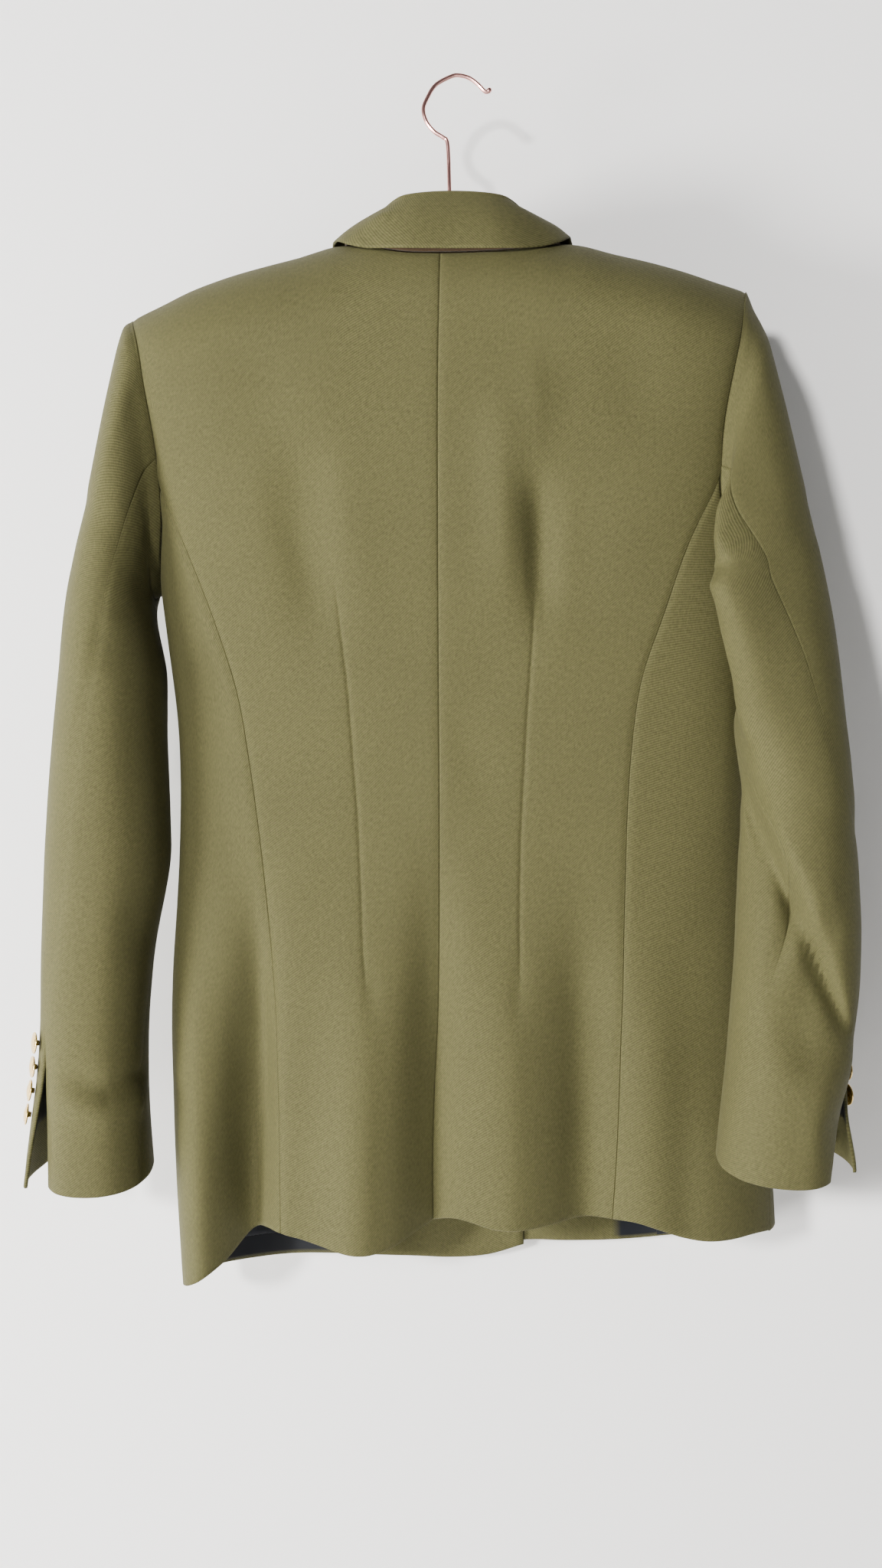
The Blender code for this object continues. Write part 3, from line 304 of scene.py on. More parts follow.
def run_along(points, axis):
    """Distance along each row (axis 1) or column (axis 0) of a grid."""
    gaps = np.linalg.norm(np.diff(points, axis=axis), axis=-1)
    return np.concatenate([np.zeros_like(gaps.take([0], axis)), gaps.cumsum(axis)], axis)


def bump(distance, width):
    return np.exp(-(distance / width) ** 2)


def ease(value):
    value = np.clip(value, 0, 1)
    return value * value * (3 - 2 * value)


def near_line(points, line):
    """Each point's distance to a line of x and z, and how far along the line it lies."""
    line = np.array(line, float)
    best = np.full(points.shape[:-1], 1e9)
    along, before = np.zeros(points.shape[:-1]), 0.0
    for a, b in zip(line[:-1], line[1:]):
        length = np.linalg.norm(b - a)
        t = np.clip((points - a) @ (b - a) / length**2, 0, 1)
        distance = np.linalg.norm(points - a - t[..., None] * (b - a), axis=-1)
        along = np.where(distance < best, before + t * length, along)
        best, before = np.minimum(best, distance), before + length
    return best, along, before


def fading(points, line, width, start, end):
    """A soft band along a line that fades in over `start` mm and out over `end` mm."""
    distance, along, length = near_line(points, line)
    return bump(distance, width) * ease(along / start) * ease((length - along) / end)


# ---------------------------------------------------------------- folds placed one by one

# Each fold: its line in x and z (mm), its half width, and its height (below 0, a hollow).
BACK_CREASES = (
    (((33, -215), (34, -300), (42, -390)), 15, 4.0),
    (((54, -205), (55, -315)), 13, 3.4),
    (((60, -290), (59, -350), (62, -408)), 11, -6.5),
    (((86, -280), (82, -420)), 24, -2.2),
    (((-116, -250), (-104, -340), (-88, -430)), 19, -3.4),
    (((-86, -260), (-74, -340), (-62, -420)), 15, 0.8),
    (((-12, -520), (-15, -700), (-17, -1000)), 16, -7.5),
    (((-60, -580), (-64, -720), (-72, -1000)), 24, 5.0),
    (((-138, -520), (-143, -700), (-147, -1000)), 15, -8.0),
    (((-182, -560), (-182, -730), (-180, -1000)), 18, 5.0),
    (((30, -580), (38, -1000)), 22, 4.5),
    (((86, -540), (92, -700), (96, -1000)), 20, -7.0),
    (((134, -580), (140, -1000)), 20, 4.0),
    (((-140, -190), (-126, -290)), 24, -2.0),
    (((120, -180), (126, -280)), 24, -2.0),
    (((-60, -628), (-55, -676)), 6, -1.4),
    (((45, -628), (42, -674)), 6, -1.4),
    (((70, -620), (112, -690), (92, -780)), 16, -1.6),
    (((-160, -500), (-150, -640)), 13, -1.6),
    (((0, -450), (24, -530)), 14, -1.0),
)
FRONT_CREASES = (
    (((-120, -250), (-96, -330), (-74, -392)), 16, -1.6),
    (((118, -250), (96, -330), (74, -392)), 16, -1.6),
    (((-10, -505), (-60, -520), (-110, -512)), 10, -1.1),
    (((30, -505), (70, -522), (120, -514)), 10, -1.2),
    (((20, -604), (-20, -640), (-60, -700)), 14, -0.9),
    (((30, -604), (64, -640), (96, -704)), 14, -0.9),
)


FADE_SHARE = 0.33  # of a fold's length, over which each of its ends dies away


def creased(points, creases):
    """How far folds move the cloth outwards."""
    flat = points[..., [0, 2]] / MM
    total = np.zeros(points.shape[:-1])
    for line, width, height in creases:
        fade = FADE_SHARE * near_line(flat, line)[2]
        total += height * MM * fading(flat, line, width, fade, fade)
    return total


def waves(points, height):
    """Slow waves of pressed cloth, the same on each side of a seam."""
    x, y, z = np.moveaxis(points / MM, -1, 0)
    total = np.sin(x / 19.0 + z / 47.0) + np.sin(z / 31.0 - y / 23.0 + 1.7)
    total += 0.6 * np.sin(x / 11.0 - z / 17.0 + y / 13.0 + 0.4)
    return height * total / 2.6


BODY_HALF = (0.19, 0.075)  # m, half the body's width and half its depth


def body_outward(points):
    """A direction out of the body that both sides of a seam share."""
    return unit(points * (1 / BODY_HALF[0]**2, 1 / BODY_HALF[1]**2, 0))


# ---------------------------------------------------------------- mesh from two walls


def linked(name, data):
    """A new object of a mesh, light or camera, in the scene."""
    piece = bpy.data.objects.new(name, data)
    bpy.context.scene.collection.objects.link(piece)
    return piece


def wall_object(name, outer, inner, bulge, lined=None):
    """A closed cloth from two fine grids, its rim rounded by the bulge."""
    rows, columns = outer.shape[:2]
    size = rows * columns
    index = np.arange(size).reshape(rows, columns)
    quads = np.stack([index[:-1, :-1], index[1:, :-1], index[1:, 1:], index[:-1, 1:]],
                     axis=-1).reshape(-1, 4)
    middle = unit(np.cross(outer[1:, :-1] - outer[:-1, :-1], outer[:-1, 1:] - outer[:-1, :-1]))
    forward = (middle * (outer - inner)[:-1, :-1]).sum() >= 0
    loop = np.concatenate([index[0, :-1], index[:-1, -1], index[-1, :0:-1], index[:0:-1, 0]])
    if forward:
        loop = loop[::-1]
    else:
        quads = quads[:, ::-1]
    flat_outer, flat_inner = outer.reshape(-1, 3), inner.reshape(-1, 3)
    centre = (flat_outer[loop] + flat_inner[loop]) / 2
    across = unit(flat_outer[loop] - flat_inner[loop])
    along = unit(np.roll(centre, -1, 0) - np.roll(centre, 1, 0))
    rim = centre + unit(np.cross(along, across)) * bulge.reshape(-1)[loop][:, None]
    points = np.concatenate([flat_outer, flat_inner, rim])
    ring = 2 * size + np.arange(len(loop))
    after, ring_after = np.roll(loop, -1), np.roll(ring, -1)
    faces = [quads, quads[:, ::-1] + size,
             np.stack([loop, ring, ring_after, after], axis=-1),
             np.stack([ring, loop + size, after + size, ring_after], axis=-1)]
    faces = np.concatenate(faces)
    mesh = bpy.data.meshes.new(name)
    mesh.from_pydata(points.tolist(), [], faces.tolist())
    mesh.shade_smooth()
    u = run_along(outer, 1) * (1 if forward else -1)
    u = u - u[:, [columns // 2]]
    v = np.broadcast_to(run_along(outer, 0).mean(1, keepdims=True), u.shape)
    plan = np.stack([u, -v], axis=-1).reshape(-1, 2)
    plan = np.concatenate([plan, plan, plan[loop]])
    layer = mesh.uv_layers.new(name="Cloth")
    corners = np.zeros(len(mesh.loops), np.int32)
    mesh.loops.foreach_get("vertex_index", corners)
    layer.data.foreach_set("uv", plan[corners].astype(np.float32).reshape(-1))
    if lined is not None:
        inside = np.concatenate([np.zeros(size), lined.reshape(-1), np.zeros(len(loop))])
        attribute = mesh.attributes.new("lined", "FLOAT", "POINT")
        attribute.data.foreach_set("value", inside.astype(np.float32))
    return linked(name, mesh)


def stands_for(piece, slot, *nodes):
    """Rides on the body and replaces its solids; the slot it is given is not used."""
    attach(piece, "root")
    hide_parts(*nodes)


# ---------------------------------------------------------------- the body

# The darts of the back, as x and z (mm) down the line.
DARTS = {
    "back_left": ((-83, -369), (-74, -437), (-67, -528), (-63, -617), (-61, -644)),
    "back_right": ((56, -379), (51, -453), (46, -547), (45, -606), (45, -644)),
}
DART_OFFSETS = (0.5, 1.1, 1.9, 3.0, 4.6, 6.8, 9.4)  # mm, lines of points beside a dart
DART_ROOM = 3  # columns on each side that those lines take the place of


def along_dart(points, line, offsets):
    """The columns of a grid moved so that one runs down the dart, with lines beside it."""
    rows, columns = points.shape[:2]
    line = np.array(line, float) * MM
    x = np.interp(-points[:, :, 2].mean(1), -line[:, 1], line[:, 0])
    keep = int(round(np.interp(x.mean(), points[:, :, 0].mean(0), np.arange(columns))))
    beside = np.array([-d for d in offsets[::-1]] + [0.0] + list(offsets)) * MM
    made = []
    for r in range(rows):
        run = run_along(points[r:r + 1], 1)[0]
        centre = np.interp(x[r], points[r, :, 0], run)
        share = np.minimum(run / run[keep], (run[-1] - run) / (run[-1] - run[keep]))
        wanted = run + (centre - run[keep]) * share
        wanted = np.concatenate([wanted[:keep - DART_ROOM], centre + beside,
                                 wanted[keep + 1 + DART_ROOM:]])
        made.append([np.interp(wanted, run, points[r, :, k]) for k in range(3)])
    return np.array(made).transpose(0, 2, 1), keep - DART_ROOM + len(offsets)


def seam_roll(points, sewn, depth, width):
    """How far the cloth is drawn in beside its sewn edges."""
    across, down = run_along(points, 1), run_along(points, 0)
    total = np.zeros(points.shape[:2])
    for edge, distance in (("l", across), ("r", across[:, -1:] - across),
                           ("t", down), ("b", down[-1:] - down)):
        if edge in sewn:
            total = np.maximum(total, depth * bump(distance, width))
    return total


def lipped(walls, outward, sewn, reach, turn):
    """Both walls with a short lip past each sewn edge, turned in like a seam's allowance."""
    for edge, axis, end in (("t", 0, 0), ("b", 0, -1), ("l", 1, 0), ("r", 1, -1)):
        if edge not in sewn:
            continue
        beside = 1 if end == 0 else -2
        outer = walls[0]
        along = unit(outer.take([end], axis) - outer.take([beside], axis))
        normal = outward.take([end], axis)
        lip = along * reach - normal * turn
        parts = [[wall.take([end], axis) + lip, wall][::1 if end == 0 else -1] for wall in walls]
        walls = [np.concatenate(part, axis=axis) for part in parts]
        outward = np.concatenate([normal, outward][::1 if end == 0 else -1], axis=axis)
    return walls


def free_bulge(shape, sewn, height):
    """How far the rim stands out, by its edge: a sewn edge stays plain."""
    bulge = np.full(shape, height)
    for edge, part in (("t", np.s_[0]), ("b", np.s_[-1]), ("l", np.s_[:, 0]), ("r", np.s_[:, -1])):
        if edge in sewn:
            bulge[part] = 0
    return bulge


def edge_distance(points):
    """Each point's distance along the cloth to the nearest of its four edges."""
    across, down = run_along(points, 1), run_along(points, 0)
    return np.minimum(np.minimum(across, across[:, -1:] - across),
                      np.minimum(down, down[-1:] - down))


def evenly_thick(outer, inner, share, way, gap=2.0 * MM):
    """The inner wall set behind the outer one in a given way, as far as the share says."""
    share = (share * ease(edge_distance(outer) / (6 * MM)))[..., None]
    return outer, inner + share * (outer + way * gap - inner)


LIP = (0.5 * MM, 1.3 * MM)  # past a sewn edge: along the cloth, and inwards


def panel(node, row_cuts, column_cuts, move, finish, slot="twill", lined=None,
          wall_bulge=0.5, lip=LIP, roll=1.0, even=None):
    """A cloth solid's piece: its walls made fine, its seams rolled, its folds placed."""
    cloth = settings("cloth")
    sewn = WALLS[node][4]
    outer, inner = walls_of(node)
    rows = steps(outer.shape[0], row_cuts, "t" in sewn, "b" in sewn or lined is not None)
    columns = steps(outer.shape[1], column_cuts, "l" in sewn, "r" in sewn)
    fine = [refined(wall, rows, columns) for wall in (outer, inner)]
    dart = None
    if node in DARTS:
        (outer, dart), (inner, _) = (along_dart(wall, DARTS[node], DART_OFFSETS) for wall in fine)
    else:
        outer, inner = fine
    outward = unit(outer - inner)
    inward = seam_roll(outer, sewn, cloth.seam_depth, cloth.seam_width)
    if dart is not None:
        inward = np.maximum(inward, dart_roll(outer, DARTS[node], dart, cloth.seam_depth))
    shift = -outward * (roll * inward)[..., None] + move(outer, outward)
    moved = outer + shift, inner + shift
    if even is not None:
        moved = evenly_thick(*moved, *even(outer))
    walls = lipped(moved, outward, sewn, *lip)
    bulge = free_bulge(walls[0].shape[:2], sewn, wall_bulge * MM)
    inside = None if lined is None else lined(walls[0])
    piece = wall_object("blazer_" + node, *walls, bulge, inside)
    piece.data.materials.append(finish)
    stands_for(piece, slot, node)
    declare_cloth(outer)


def dart_roll(points, line, column, depth):
    """The dart's groove, from its top point to its foot, gone at both ends."""
    run = run_along(points, 1)
    distance = np.abs(run - run[:, column:column + 1])
    z = points[..., 2] / MM
    top, foot = line[0][1], line[-1][1]
    fade = ease((top - z) / 22 + 0.15) * ease((z - foot) / 10 + 0.3)
    sharp = 1.1 * depth * bump(distance, 1.5 * MM)
    soft = 0.5 * depth * bump(distance, 7 * MM)
    return (sharp + soft) * fade


LEAST_SHARE = 0.301  # of its width times its length, the least area that a cut may have


def declare_cloth(outer):
    """Works out the flat size of the piece's cut: its widest row, its longest column and its area,
    and keeps none of them.
    """
    across, down = run_along(outer, 1)[:, -1], run_along(outer, 0)[-1]
    width, height = round(float(across.max()), 3), round(float(down.max()), 3)
    area = round(min(area_of(outer), width * height), 4)
    area = max(area, LEAST_SHARE * width * height)


def body_move(creases):
    """How the body's cloth leaves its solid: its folds and slow waves."""
    def move(points, _):
        cloth = settings("cloth")
        height = creased(points, creases) + waves(points, cloth.undulation)
        return body_outward(points) * height[..., None]
    return move


HEM_LIFT = 7.5 * MM  # at the right front's side seam


def front_move(side):
    """A front's folds; the right one's hem is drawn up to meet the side panel's."""
    def move(points, outward):
        x, _, z = np.moveaxis(points / MM, -1, 0)
        shift = body_move(FRONT_CREASES)(points, outward)
        if side == "right":
            shift[..., 2] += HEM_LIFT * ease((x - 190) / 30) * ease((-780 - z) / 55)
        return shift
    return move


HEM_BAND, FRONT_BAND = 32 * MM, 2.4 * MM  # twill turned up inside a hem
FACING = {"left": -74 * MM, "right": 121 * MM}  # where a front's facing meets its lining


def body_lining(points, band=HEM_BAND):
    """The wrong side shows lining down to the band of twill above the hem."""
    down = run_along(points, 0)
    return ease((down[-1:] - down - band) / (0.5 * MM))


def front_lining(side):
    """Lining from a front's facing to its side seam, and down to the band of its hem."""
    def lined(points):
        past = points[..., 0] - FACING[side]
        past = -past if side == "left" else past
        return body_lining(points, FRONT_BAND) * ease(past / MM + 0.5)
    return lined


class BodyPieces(bpy.types.Operator):
    """Makes the back, side and front panels with their seams, darts and soft folds"""

    bl_idname = "blazer.body"
    bl_label = "Body panels"

    def execute(self, context):
        twill = twill_material()
        for side in ("left", "right"):
            move = body_move(BACK_CREASES)
            panel(f"back_{side}", 4, 4, move, twill, lined=body_lining)
            panel(f"side_{side}", 7, 5, move, twill, lined=body_lining)
            panel(f"front_{side}", 4, 5, front_move(side), twill, lined=front_lining(side))
        return {"FINISHED"}


# ---------------------------------------------------------------- sleeves


def sleeve_centre(side):
    """The middle of a sleeve as a line of x and y against z."""
    upper, _ = walls_of(f"sleeve_upper_{side}")
    under, _ = walls_of(f"sleeve_under_{side}")
    both = np.concatenate([upper[4:], under[4:]], axis=1).mean(1)
    return both[np.argsort(both[:, 2])]


# Folds of each sleeve: from which side they are seen ("back" or "front"), then as above.
SLEEVE_CREASES = {
    "left": (
        ("back", ((-240, -392), (-230, -440)), 12, -1.8),
        ("back", ((-222, -366), (-214, -420)), 12, 1.4),
        ("back", ((-284, -700), (-236, -716), (-206, -711), (-184, -690)), 8, -3.6),
        ("back", ((-284, -722), (-236, -735), (-190, -722)), 9, 2.6),
        ("back", ((-206, -560), (-200, -620), (-204, -680)), 9, 1.6),
        ("back", ((-222, -580), (-214, -640)), 10, -1.4),
        ("back", ((-262, -300), (-246, -340)), 12, -1.2),
        ("front", ((-285, -470), (-250, -492), (-215, -486)), 12, -2.2),
        ("front", ((-280, -520), (-245, -536)), 12, -1.6),
        ("front", ((-250, -290), (-236, -340)), 13, -1.6),
    ),
    "right": (
        ("back", ((196, -330), (204, -392), (210, -440)), 12, 1.6),
        ("back", ((222, -340), (232, -400)), 13, -1.2),
        ("back", ((206, -650), (236, -705)), 14, -1.4),
        ("back", ((246, -680), (232, -760)), 12, 1.6),
        ("back", ((236, -300), (242, -350)), 12, -1.2),
        ("front", ((262, -500), (236, -530), (214, -530)), 12, -2.4),
        ("front", ((250, -300), (236, -350)), 13, -1.6),
        ("front", ((262, -600), (238, -620)), 11, -1.6),
    ),
}


# The deep fold at the right elbow, as x and z (mm): the cloth above and right of it stands proud.
ELBOW_FOLD = ((178, -380), (187, -454), (192, -490), (206, -538), (223, -587), (244, -636),
              (256, -664), (274, -684))
FOLD_STEP = 1.3  # mm, how sharply the fold drops
FOLD_RISE = ((2.4, 30),)  # height and half width (mm) above the line
FOLD_SINK = ((3.5, 30), (3.0, 12))  # the same for each part of the hollow below it
FOLD_SLIT = (5.5, 5.5, 2.5)  # depth, half width and distance from the line of its crease
FOLD_ENDS = (50, 55)  # mm over which it fades in and out


def elbow_fold(flat):
    """How far the cloth rises above the fold line and sinks below it."""
    distance, along, length = near_line(flat, ELBOW_FOLD)
    line = np.array(ELBOW_FOLD, float)
    above = flat[..., 0] > np.interp(-flat[..., 1], -line[:, 1], line[:, 0])
    rise, sink = (sum(height * bump(distance, width) for height, width in parts)
                  for parts in (FOLD_RISE, FOLD_SINK))
    depth, width, beside = FOLD_SLIT
    slit = depth * bump(np.where(above, distance + beside, np.abs(distance - beside)), width)
    start, end = FOLD_ENDS
    total = np.where(above, rise, -sink) * np.tanh(distance / FOLD_STEP) - slit
    return total * ease((along - start) / start) * ease((length - along) / end) * MM


ELBOW_REACH = 50  # mm from the fold, within which the inner wall follows the outer one
ELBOW_WAY = (0.3, 1, 0)  # how much of the way into the sleeve counts, along x, y and z


def near_elbow(points):
    """How near points are to the elbow's fold, and the way into the sleeve from each."""
    centre = sleeve_centre("right")
    way = np.zeros_like(points)
    for k in (0, 1):
        way[..., k] = np.interp(points[..., 2], centre[:, 2], centre[:, k]) - points[..., k]
    near = near_line(points[..., [0, 2]] / MM, ELBOW_FOLD)[0]
    return bump(near, ELBOW_REACH), unit(way * ELBOW_WAY)


# Where a sleeve's edge leans: line, width, the two fades, and the push in x, y and z.
SLEEVE_PUSHES = {
    "upper_left": (),
    "under_left": (),
    "left": ((((-197, -372), (-198, -450), (-200, -540), (-203, -640)), 26, 60, 90, (9, 0, 0)),),
    "right": ((((181, -358), (187, -400), (192, -436), (196, -520)), 28, 20, 70, (-11.5, 0, 0)),
              (((180, -300), (180, -362)), 22, 24, 24, (-3.4, 0, 0))),
    "under_right": ((((268, -690), (262, -735), (258, -830)), 26, 50, 20, (-9.5, 0, 0)),),
    "upper_right": ((((268, -728), (268, -850)), 26, 30, 20, (4.5, 2, -7)),),
}


ELBOW_EVENED = (((252, -640), (262, -700)), 28, 90)  # line, reach (mm) and number of passes


def evened(points, middle, reach, times):
    """How a grid moves when its bumps near a line are smoothed away."""
    flat = points[..., [0, 2]] / MM
    share = bump(near_line(flat, middle)[0], reach)[1:-1, 1:-1, None]
    smooth = points.copy()
    for _ in range(times):
        near = (smooth[:-2, 1:-1] + smooth[2:, 1:-1] + smooth[1:-1, :-2] + smooth[1:-1, 2:]) / 4
        smooth[1:-1, 1:-1] += 0.8 * share * (near - smooth[1:-1, 1:-1])
    return smooth - points


SHOULDER_FADE = 90 * MM  # below a sleeve's top, over which its folds begin


def sleeve_move(side, cut):
    """How a sleeve's cloth leaves its solid: its folds, the elbow's fold and its leaning edges."""
    centre = sleeve_centre(side)

    def move(points, _):
        z = points[..., 2]
        x0, y0 = (np.interp(z, centre[:, 2], centre[:, k]) for k in (0, 1))
        away = unit(np.stack([points[..., 0] - x0, points[..., 1] - y0, np.zeros_like(z)], -1))
        back = ease(0.5 - away[..., 1])
        flat = points[..., [0, 2]] / MM
        total = np.zeros_like(z)
        for seen, line, width, height in SLEEVE_CREASES[side]:
            share = back if seen == "back" else 1 - back
            total += share * creased(points, ((line, width, height),))
        total += waves(points, settings("cloth").undulation)
        total *= ease((points[0, :, 2].max() - z) / SHOULDER_FADE)
        moved = away * total[..., None]
        if side == "right":
            moved[..., 1] += evened(points, *ELBOW_EVENED)[..., 1]
            moved[..., 1] -= back * elbow_fold(flat)
        for *band, push in SLEEVE_PUSHES[side] + SLEEVE_PUSHES[f"{cut}_{side}"]:
            moved += fading(flat, *band)[..., None] * np.array(push) * MM
        return moved
    return move


SLEEVE_LIP = (2.4 * MM, 1.1 * MM)  # past a sleeve's seams: along the cloth, and inwards


class SleevePieces(bpy.types.Operator):
    """Makes the upper and under sleeves with their elbow folds and cuff creases"""

    bl_idname = "blazer.sleeves"
    bl_label = "Sleeves"

    def execute(self, context):
        twill = twill_material()
        for side in ("left", "right"):
            for cut in ("upper", "under"):
                panel(f"sleeve_{cut}_{side}", 7, 5, sleeve_move(side, cut), twill,
                      lined=body_lining, lip=SLEEVE_LIP, roll=0.5,
                      even=near_elbow if side == "right" else None)
        return {"FINISHED"}


# ---------------------------------------------------------------- collar, lapels, linings


def still(points, _):
    """Cloth that stays where its solid is."""
    return np.zeros_like(points)


class CollarPieces(bpy.types.Operator):
    """Makes the collar's stand and fall and the two lapels"""

    bl_idname = "blazer.collar"
    bl_label = "Collar and lapels"

    def execute(self, context):
        twill = twill_material()
        panel("collar_fall", 4, 5, still, twill)
        # the stand's dark brown finish is painted shadow from the collar's fall
        panel("collar_stand", 4, 4, still, stand_painted_shadow_material())
        for side in ("left", "right"):
            panel(f"lapel_{side}", 5, 5, still, twill)
        return {"FINISHED"}


def lining_move(side):
    """The front's folds, and small loose pleats of satin that run down."""
    def move(points, outward):
        x, _, z = np.moveaxis(points / MM, -1, 0)
        height = 1.5 + np.sin(x / 5.0 + np.sin(z / 37.0)) + 0.5 * np.sin(x / 2.9 + z / 61.0)
        loose = 0.35 * MM + 0.7 * MM * height * ease(edge_distance(points) / (8 * MM))
        return front_move(side)(points, outward) - body_outward(points) * loose[..., None]
    return move


class LiningPieces(bpy.types.Operator):
    """Makes the satin linings that show at the hem and in the cuff's vent"""

    bl_idname = "blazer.linings"
    bl_label = "Linings"

    def execute(self, context):
        satin = satin_material()
        for side in ("left", "right"):
            panel(f"lining_{side}", 8, 10, lining_move(side), satin, "lining", wall_bulge=0.2)
        panel("cuff_lining_right", 5, 5, still, satin, "lining", wall_bulge=0.2)
        return {"FINISHED"}


# ---------------------------------------------------------------- shader groups

FLOAT, VECTOR = "NodeSocketFloat", "NodeSocketVector"


def group(name, inputs, outputs):
    """A shader node group with named sockets, and its two ends."""
    tree = bpy.data.node_groups.new(name, "ShaderNodeTree")
    for label, kind, default in inputs:
        socket = tree.interface.new_socket(label, in_out="INPUT", socket_type=kind)
        if default is not None:
            socket.default_value = default
    for label, kind in outputs:
        tree.interface.new_socket(label, in_out="OUTPUT", socket_type=kind)
    return tree, tree.nodes.new("NodeGroupInput"), tree.nodes.new("NodeGroupOutput")


class Wires:
    """Short ways to add and join nodes in one tree."""

    def __init__(self, tree):
        self.tree = tree

    def node(self, kind, links=None, **values):
        made = self.tree.nodes.new(kind)
        for name, value in values.items():
            setattr(made, name, value)
        for key, source in (links or {}).items():
            self.set(made.inputs[key], source)
        return made

    def set(self, socket, source):
        if isinstance(source, bpy.types.NodeSocket):
            self.tree.links.new(source, socket)
        else:
            socket.default_value = source

    def place(self):
        return self.node("ShaderNodeTexCoord").outputs["Object"]

    def plan(self):
        """Where a point of cloth lies in its piece's flat cut, in metres."""
        return self.node("ShaderNodeUVMap", uv_map="Cloth").outputs[0]

    def math(self, operation, a, b=0.0, clamp=False):
        made = self.node("ShaderNodeMath", {0: a, 1: b}, operation=operation, use_clamp=clamp)
        return made.outputs[0]

    def noise(self, vector, scale, detail=3.0, rough=0.55):
        made = self.node("ShaderNodeTexNoise", {"Vector": vector, "Scale": scale,
                                                "Detail": detail, "Roughness": rough})
        return made.outputs["Fac"]

    def scaled(self, vector, scale, turn=0.0):
        made = self.node("ShaderNodeMapping", {"Vector": vector, "Scale": scale,
                                               "Rotation": (0.0, 0.0, turn)})
        return made.outputs[0]

    def mix(self, share, a, b):
        made = self.node("ShaderNodeMix", data_type="RGBA")
        for key, source in ((0, share), (6, a), (7, b)):
            self.set(made.inputs[key], source)
        return made.outputs[2]

    def blend(self, share, a, b):
        made = self.node("ShaderNodeMix", data_type="FLOAT")
        for key, source in ((0, share), (2, a), (3, b)):
            self.set(made.inputs[key], source)
        return made.outputs[0]

    def spread(self, value, low, high, to_low=0.0, to_high=1.0):
        made = self.node("ShaderNodeMapRange", {"Value": value, "From Min": low, "From Max": high,
                                                "To Min": to_low, "To Max": to_high})
        return made.outputs[0]


def twill_weave_group():
    """Slanted ribs of yarn: their height, and how light each yarn is."""
    tree, start, end = group("twill_weave", (("Cloth", VECTOR, None), ("Rib", FLOAT, 0.0013),
                                             ("Slant", FLOAT, 0.9)),
                             (("Height", FLOAT), ("Tone", FLOAT)))
    wires = Wires(tree)
    turned = wires.node("ShaderNodeVectorRotate", {"Vector": start.outputs["Cloth"],
                                                   "Angle": start.outputs["Slant"]},
                        rotation_type="Z_AXIS")
    parts = wires.node("ShaderNodeSeparateXYZ", {0: turned.outputs[0]})
    wobble = wires.noise(start.outputs["Cloth"], 260.0, 2.0)
    pace = wires.math("DIVIDE", 2 * math.pi, start.outputs["Rib"])
    phase = wires.math("MULTIPLY", parts.outputs[0], pace)
    phase = wires.math("ADD", phase, wires.math("MULTIPLY", wobble, 2.2))
    rib = wires.node("ShaderNodeMath", {0: wires.math("SINE", phase), 1: 0.5, 2: 0.5},
                     operation="MULTIPLY_ADD").outputs[0]
    across = wires.math("MULTIPLY", parts.outputs[1], pace)
    yarn = wires.math("SINE", wires.math("MULTIPLY", across, 1.9))
    height = wires.math("ADD", wires.math("MULTIPLY", rib, 0.75),
                        wires.math("MULTIPLY", yarn, 0.12))
    slub = wires.scaled(start.outputs["Cloth"], (900.0, 260.0, 1.0), 0.6)
    grain = wires.noise(slub, 1.0, 3.0, 0.6)
    wires.set(end.inputs["Height"], wires.math("ADD", height, wires.math("MULTIPLY", grain, 0.35)))
    tone = wires.math("ADD", wires.math("MULTIPLY", rib, 0.45), wires.math("MULTIPLY", grain, 0.6))
    wires.set(end.inputs["Tone"], wires.math("SUBTRACT", tone, 0.02, True))
    return tree


def patches_group():
    """Slow patches of light and dark, as handling leaves on cloth or metal."""
    tree, start, end = group("patches", (("Place", VECTOR, None), ("Size", FLOAT, 0.05),
                                         ("Amount", FLOAT, 0.1)), (("Factor", FLOAT),))
    wires = Wires(tree)
    scale = wires.math("DIVIDE", 1.0, start.outputs["Size"])
    value = wires.noise(start.outputs["Place"], scale, 3.0)
    spread = wires.math("MULTIPLY", wires.math("SUBTRACT", value, 0.5), start.outputs["Amount"])
    wires.set(end.inputs["Factor"], wires.math("ADD", spread, 1.0))
    return tree


def scratches_group():
    """Fine brushed lines on metal."""
    tree, start, end = group("scratches", (("Place", VECTOR, None), ("Fineness", FLOAT, 1400.0)),
                             (("Height", FLOAT),))
    wires = Wires(tree)
    stretched = wires.node("ShaderNodeVectorMath", {0: start.outputs["Place"],
                                                    1: (1.0, 1.0, 0.12)}, operation="MULTIPLY")
    lines = wires.noise(stretched.outputs[0], start.outputs["Fineness"], 2.0)
    wires.set(end.inputs["Height"], lines)
    return tree


def use(wires, name, maker, links):
    """A shared group placed in a material, made when it is first used."""
    made = wires.tree.nodes.new("ShaderNodeGroup")
    made.node_tree = bpy.data.node_groups.get(name) or maker()
    for key, source in links.items():
        wires.set(made.inputs[key], source)
    return made


def patches(wires, place, size, amount):
    """A factor near 1 that wanders over the surface, in patches of a size in metres."""
    return use(wires, "patches", patches_group,
               {"Place": place, "Size": size, "Amount": amount}).outputs[0]


def material(name, values):
    """A material with its Principled shader, and the wires to reach it."""
    made = bpy.data.materials.new(name)
    made.use_nodes = True
    shader = made.node_tree.nodes["Principled BSDF"]
    for key, value in values.items():
        shader.inputs[key].default_value = value
    return made, shader, Wires(made.node_tree)


def bumped(wires, shader, height, distance, strength=1.0):
    """A surface raised by a height, up to a distance in metres."""
    node = wires.node("ShaderNodeBump", {"Height": height, "Distance": distance,
                                         "Strength": strength})
    wires.set(shader.inputs["Normal"], node.outputs[0])


